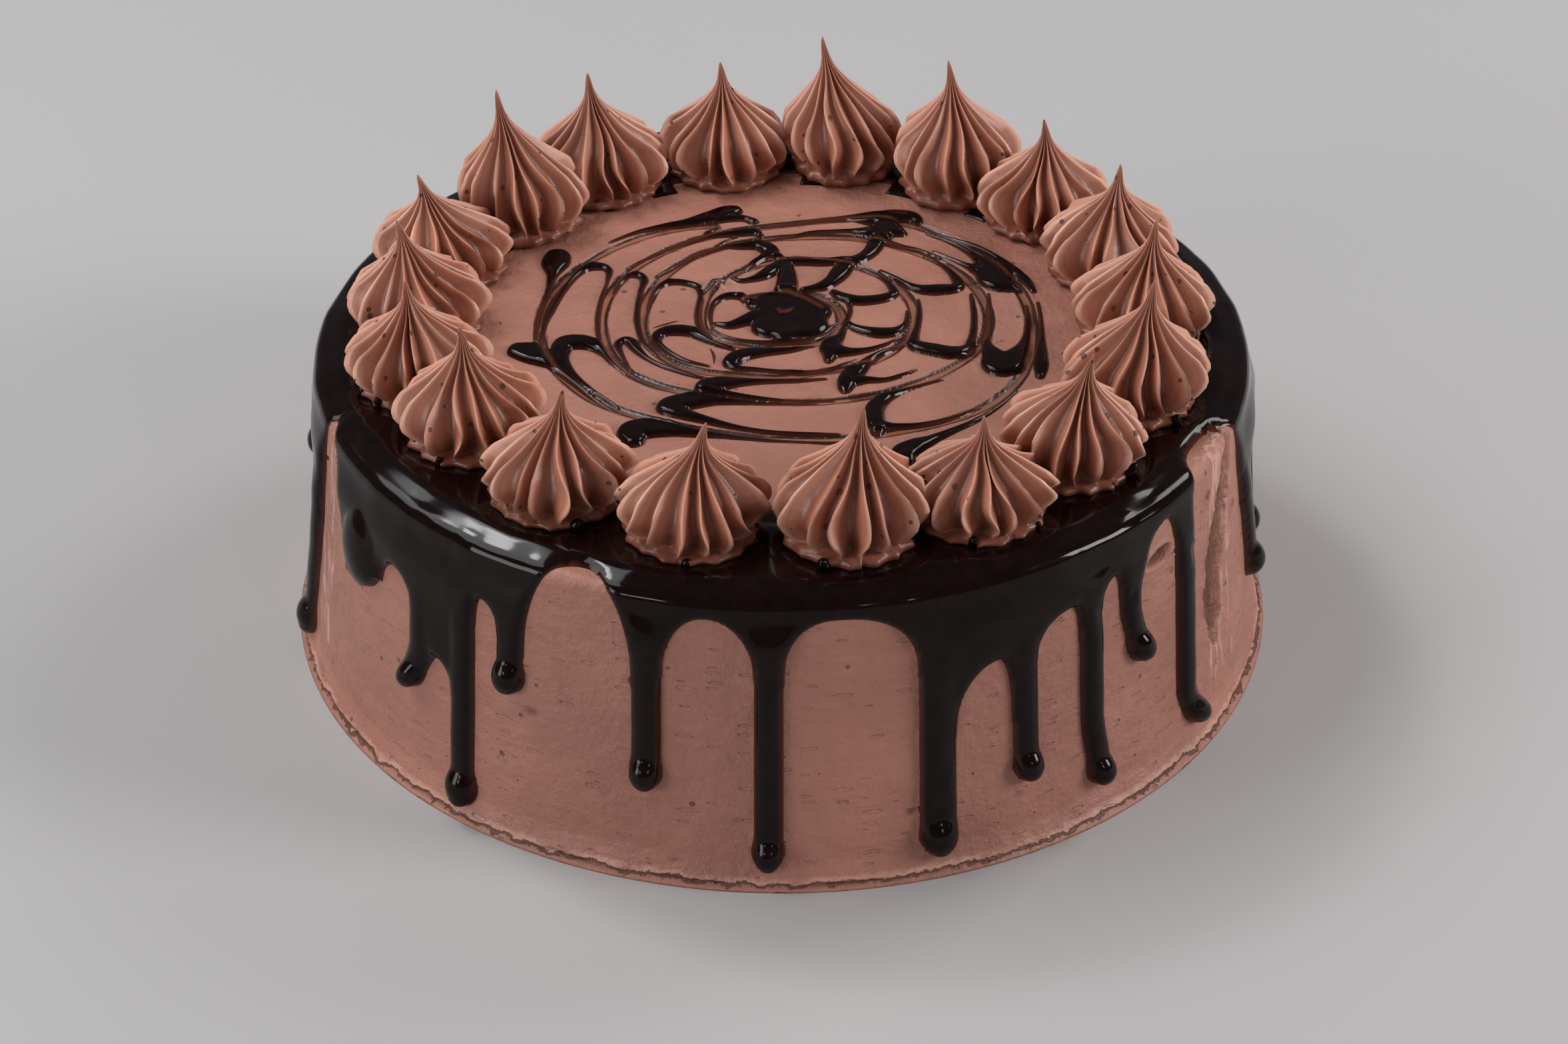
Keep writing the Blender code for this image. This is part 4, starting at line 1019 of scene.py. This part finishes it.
def frosting_material():
    """Smooth chocolate buttercream: spatula streaks, pits, the groove's smear, dents and the crack, with
    painted shade in the pits, dents and crack and painted highlights on the upright scrapes and the torn
    edge.
    """
    nodes = Nodes("frosting")
    still = nodes.position()
    height = nodes.add("ShaderNodeSeparateXYZ", {0: still}).outputs["Z"]
    streak = nodes.noise(nodes.position(z=5.0), 0.09, 4.0, 0.6)
    pits = nodes.pits(still, 4.6, 0.7)
    smear, dent = nodes.attribute("smear"), nodes.attribute("dent")
    scrape_relief_and_highlight = nodes.times(nodes.noise(nodes.position(z=0.16), 0.42, 4.0, 0.7), nodes.attribute("scraped"))
    crack, painted_lip_highlight = crack_fields(nodes, still, height)
    mottle = nodes.range(nodes.noise(still, 0.035, 4.0, 0.55), 0.35, 0.65)
    colour = nodes.mix(mottle, (0.335, 0.140, 0.098), (0.41, 0.178, 0.128))
    colour = nodes.mix(nodes.range(streak, 0.55, 0.75, 0.0, 0.35), colour, (0.47, 0.215, 0.16))
    colour = track_colour(nodes, colour, smear)
    # Painted shade: the small pits are darkened as shade in a hollow.
    colour = nodes.mix(nodes.times(pits, 0.75), colour, (0.10, 0.035, 0.022))
    colour = scrape_highlight_and_dent_shade(nodes, colour, scrape_relief_and_highlight, dent)
    # Painted highlight on the torn lip over the crack.
    colour = nodes.mix(painted_lip_highlight, colour, (0.62, 0.34, 0.26))
    # Painted shade in the crack.
    colour = nodes.mix(nodes.times(crack, 0.85), colour, (0.085, 0.030, 0.015))
    satin = nodes.range(smear, 0.0, 0.8, 0.42, 0.23)
    rough = nodes.math("MAXIMUM", satin, nodes.range(dent, 0.1, 0.5, 0.0, 0.8))
    dashes = nodes.pits(nodes.position(z=4.5), 6.5, 2.4)
    dashes = nodes.times(dashes, nodes.range(height, 65.0, 66.0, 1.0, 0.0))
    calm = nodes.range(smear, 0.0, 0.8, 1.0, 0.15)
    normal = nodes.bumps((nodes.times(streak, calm), 0.45, 0.7),
                         (nodes.times(nodes.noise(still, 0.24, 5.0, 0.62), calm), 0.8, 1.0),
                         (crack, -0.5, 0.8), (scrape_relief_and_highlight, 1.1, 0.8), (dashes, -0.6, 0.9),
                         (nodes.times(nodes.noise(still, 1.6, 4.0, 0.65), calm), 0.2, 0.7),
                         (pits, -0.5, 0.8))
    return nodes.shade(Base_Color=colour, Roughness=rough, Normal=normal, Subsurface_Weight=0.12,
                       Subsurface_Radius=(0.0018, 0.0008, 0.0006), Subsurface_Scale=1.0)


def piped_material():
    """Piped buttercream: crests painted pale as a highlight, hollows painted darker as shade, small air
    pits painted dark as shade.
    """
    nodes = Nodes("piped_frosting")
    still = nodes.position()
    crest = nodes.attribute("crest")
    pits = nodes.pits(still, 3.0, 0.72)
    mottle = nodes.range(nodes.noise(still, 0.12, 3.0, 0.5), 0.35, 0.65)
    colour = nodes.mix(mottle, (0.37, 0.136, 0.080), (0.44, 0.172, 0.110))
    # Painted shade: darker towards the bottom of the hollows between the crests.
    colour = nodes.mix(nodes.range(crest, 0.0, 0.40, 0.8, 0.0), colour, (0.135, 0.034, 0.016))
    # Painted highlight: pale lines along the sharp crests.
    colour = nodes.mix(nodes.range(crest, 0.55, 0.95, 0.0, 0.95), colour, (0.76, 0.40, 0.29))
    # Painted shade in the small air pits.
    colour = nodes.mix(nodes.times(pits, 0.8), colour, (0.07, 0.022, 0.013))
    normal = nodes.bumps((nodes.noise(still, 1.8, 4.0, 0.65), 0.12, 0.45), (pits, -0.5, 0.8))
    return nodes.shade(Base_Color=colour, Roughness=0.36, Normal=normal, Subsurface_Weight=0.06,
                       Subsurface_Radius=(0.0016, 0.0007, 0.0005), Subsurface_Scale=1.0)


def ganache_material():
    """Set dark ganache: near black, glossy, brown where it is thin, with very low ripples."""
    nodes = Nodes("ganache")
    still = nodes.position()
    mottle = nodes.range(nodes.noise(still, 0.3, 3.0, 0.5), 0.35, 0.65)
    colour = nodes.mix(mottle, (0.0046, 0.0014, 0.0013), (0.0085, 0.0025, 0.0022))
    colour = nodes.mix(nodes.attribute("thin"), colour, (0.075, 0.020, 0.011))
    rough = nodes.range(nodes.noise(still, 0.08, 3.0, 0.5), 0.35, 0.65, 0.06, 0.13)
    ripple = nodes.bumps((nodes.noise(still, 0.06, 2.0, 0.5), 0.4, 0.25))
    return nodes.shade(Base_Color=colour, Roughness=rough, Normal=ripple, Specular_IOR_Level=0.18)


def make_floor():
    """A plain pale floor, which isn't part of the cake."""
    bpy.ops.mesh.primitive_plane_add(size=8.0, location=(0.0, 0.0, 0.0))
    floor = bpy.context.active_object
    floor.name = "floor"
    material = Nodes("floor").shade(Base_Color=(0.44, 0.43, 0.43, 1.0), Roughness=0.7)
    floor.data.materials.append(material)


def add_light(name, direction, distance, size, power, colour):
    """A square softbox that faces the cake."""
    data = bpy.data.lights.new(name, "AREA")
    data.shape = "RECTANGLE"
    data.size, data.size_y = size
    data.energy = power
    data.color = colour
    light = bpy.data.objects.new(name, data)
    way = Vector(direction).normalized()
    light.location = way * distance + Vector((0.0, 0.0, 0.05))
    light.rotation_euler = way.to_track_quat("Z", "Y").to_euler()
    bpy.context.collection.objects.link(light)


def make_lights():
    """Soft studio light: the softboxes and a faint even glow."""
    for name, settings in LIGHTS.items():
        add_light(name, *settings)
    world = bpy.data.worlds.new("studio")
    world.use_nodes = True
    glow = world.node_tree.nodes["Background"].inputs
    glow["Color"].default_value = (0.92, 0.94, 1.0, 1.0)
    glow["Strength"].default_value = 0.13
    bpy.context.scene.world = world


def make_camera():
    """The camera at the photo's angle."""
    data = bpy.data.cameras.new("camera")
    data.lens = CAMERA_LENS
    data.sensor_width = 36.0
    data.dof.use_dof = False
    camera = bpy.data.objects.new("camera", data)
    tilt = math.radians(CAMERA_ELEVATION_DEG)
    back = Vector((0.0, -math.cos(tilt), math.sin(tilt)))
    camera.location = CAMERA_TARGET + back * CAMERA_DISTANCE
    camera.rotation_euler = back.to_track_quat("Z", "Y").to_euler()
    bpy.context.collection.objects.link(camera)
    bpy.context.scene.camera = camera


bpy.context.scene.view_settings.view_transform = "Standard"
ganache = ganache_material()
piped = piped_material()
make_body(frosting_material())
make_web(ganache)
make_collar(ganache)
for peak_index in range(PEAK_COUNT):
    make_peak(peak_index, piped)
make_beads(ganache)
make_floor()
make_lights()
make_camera()
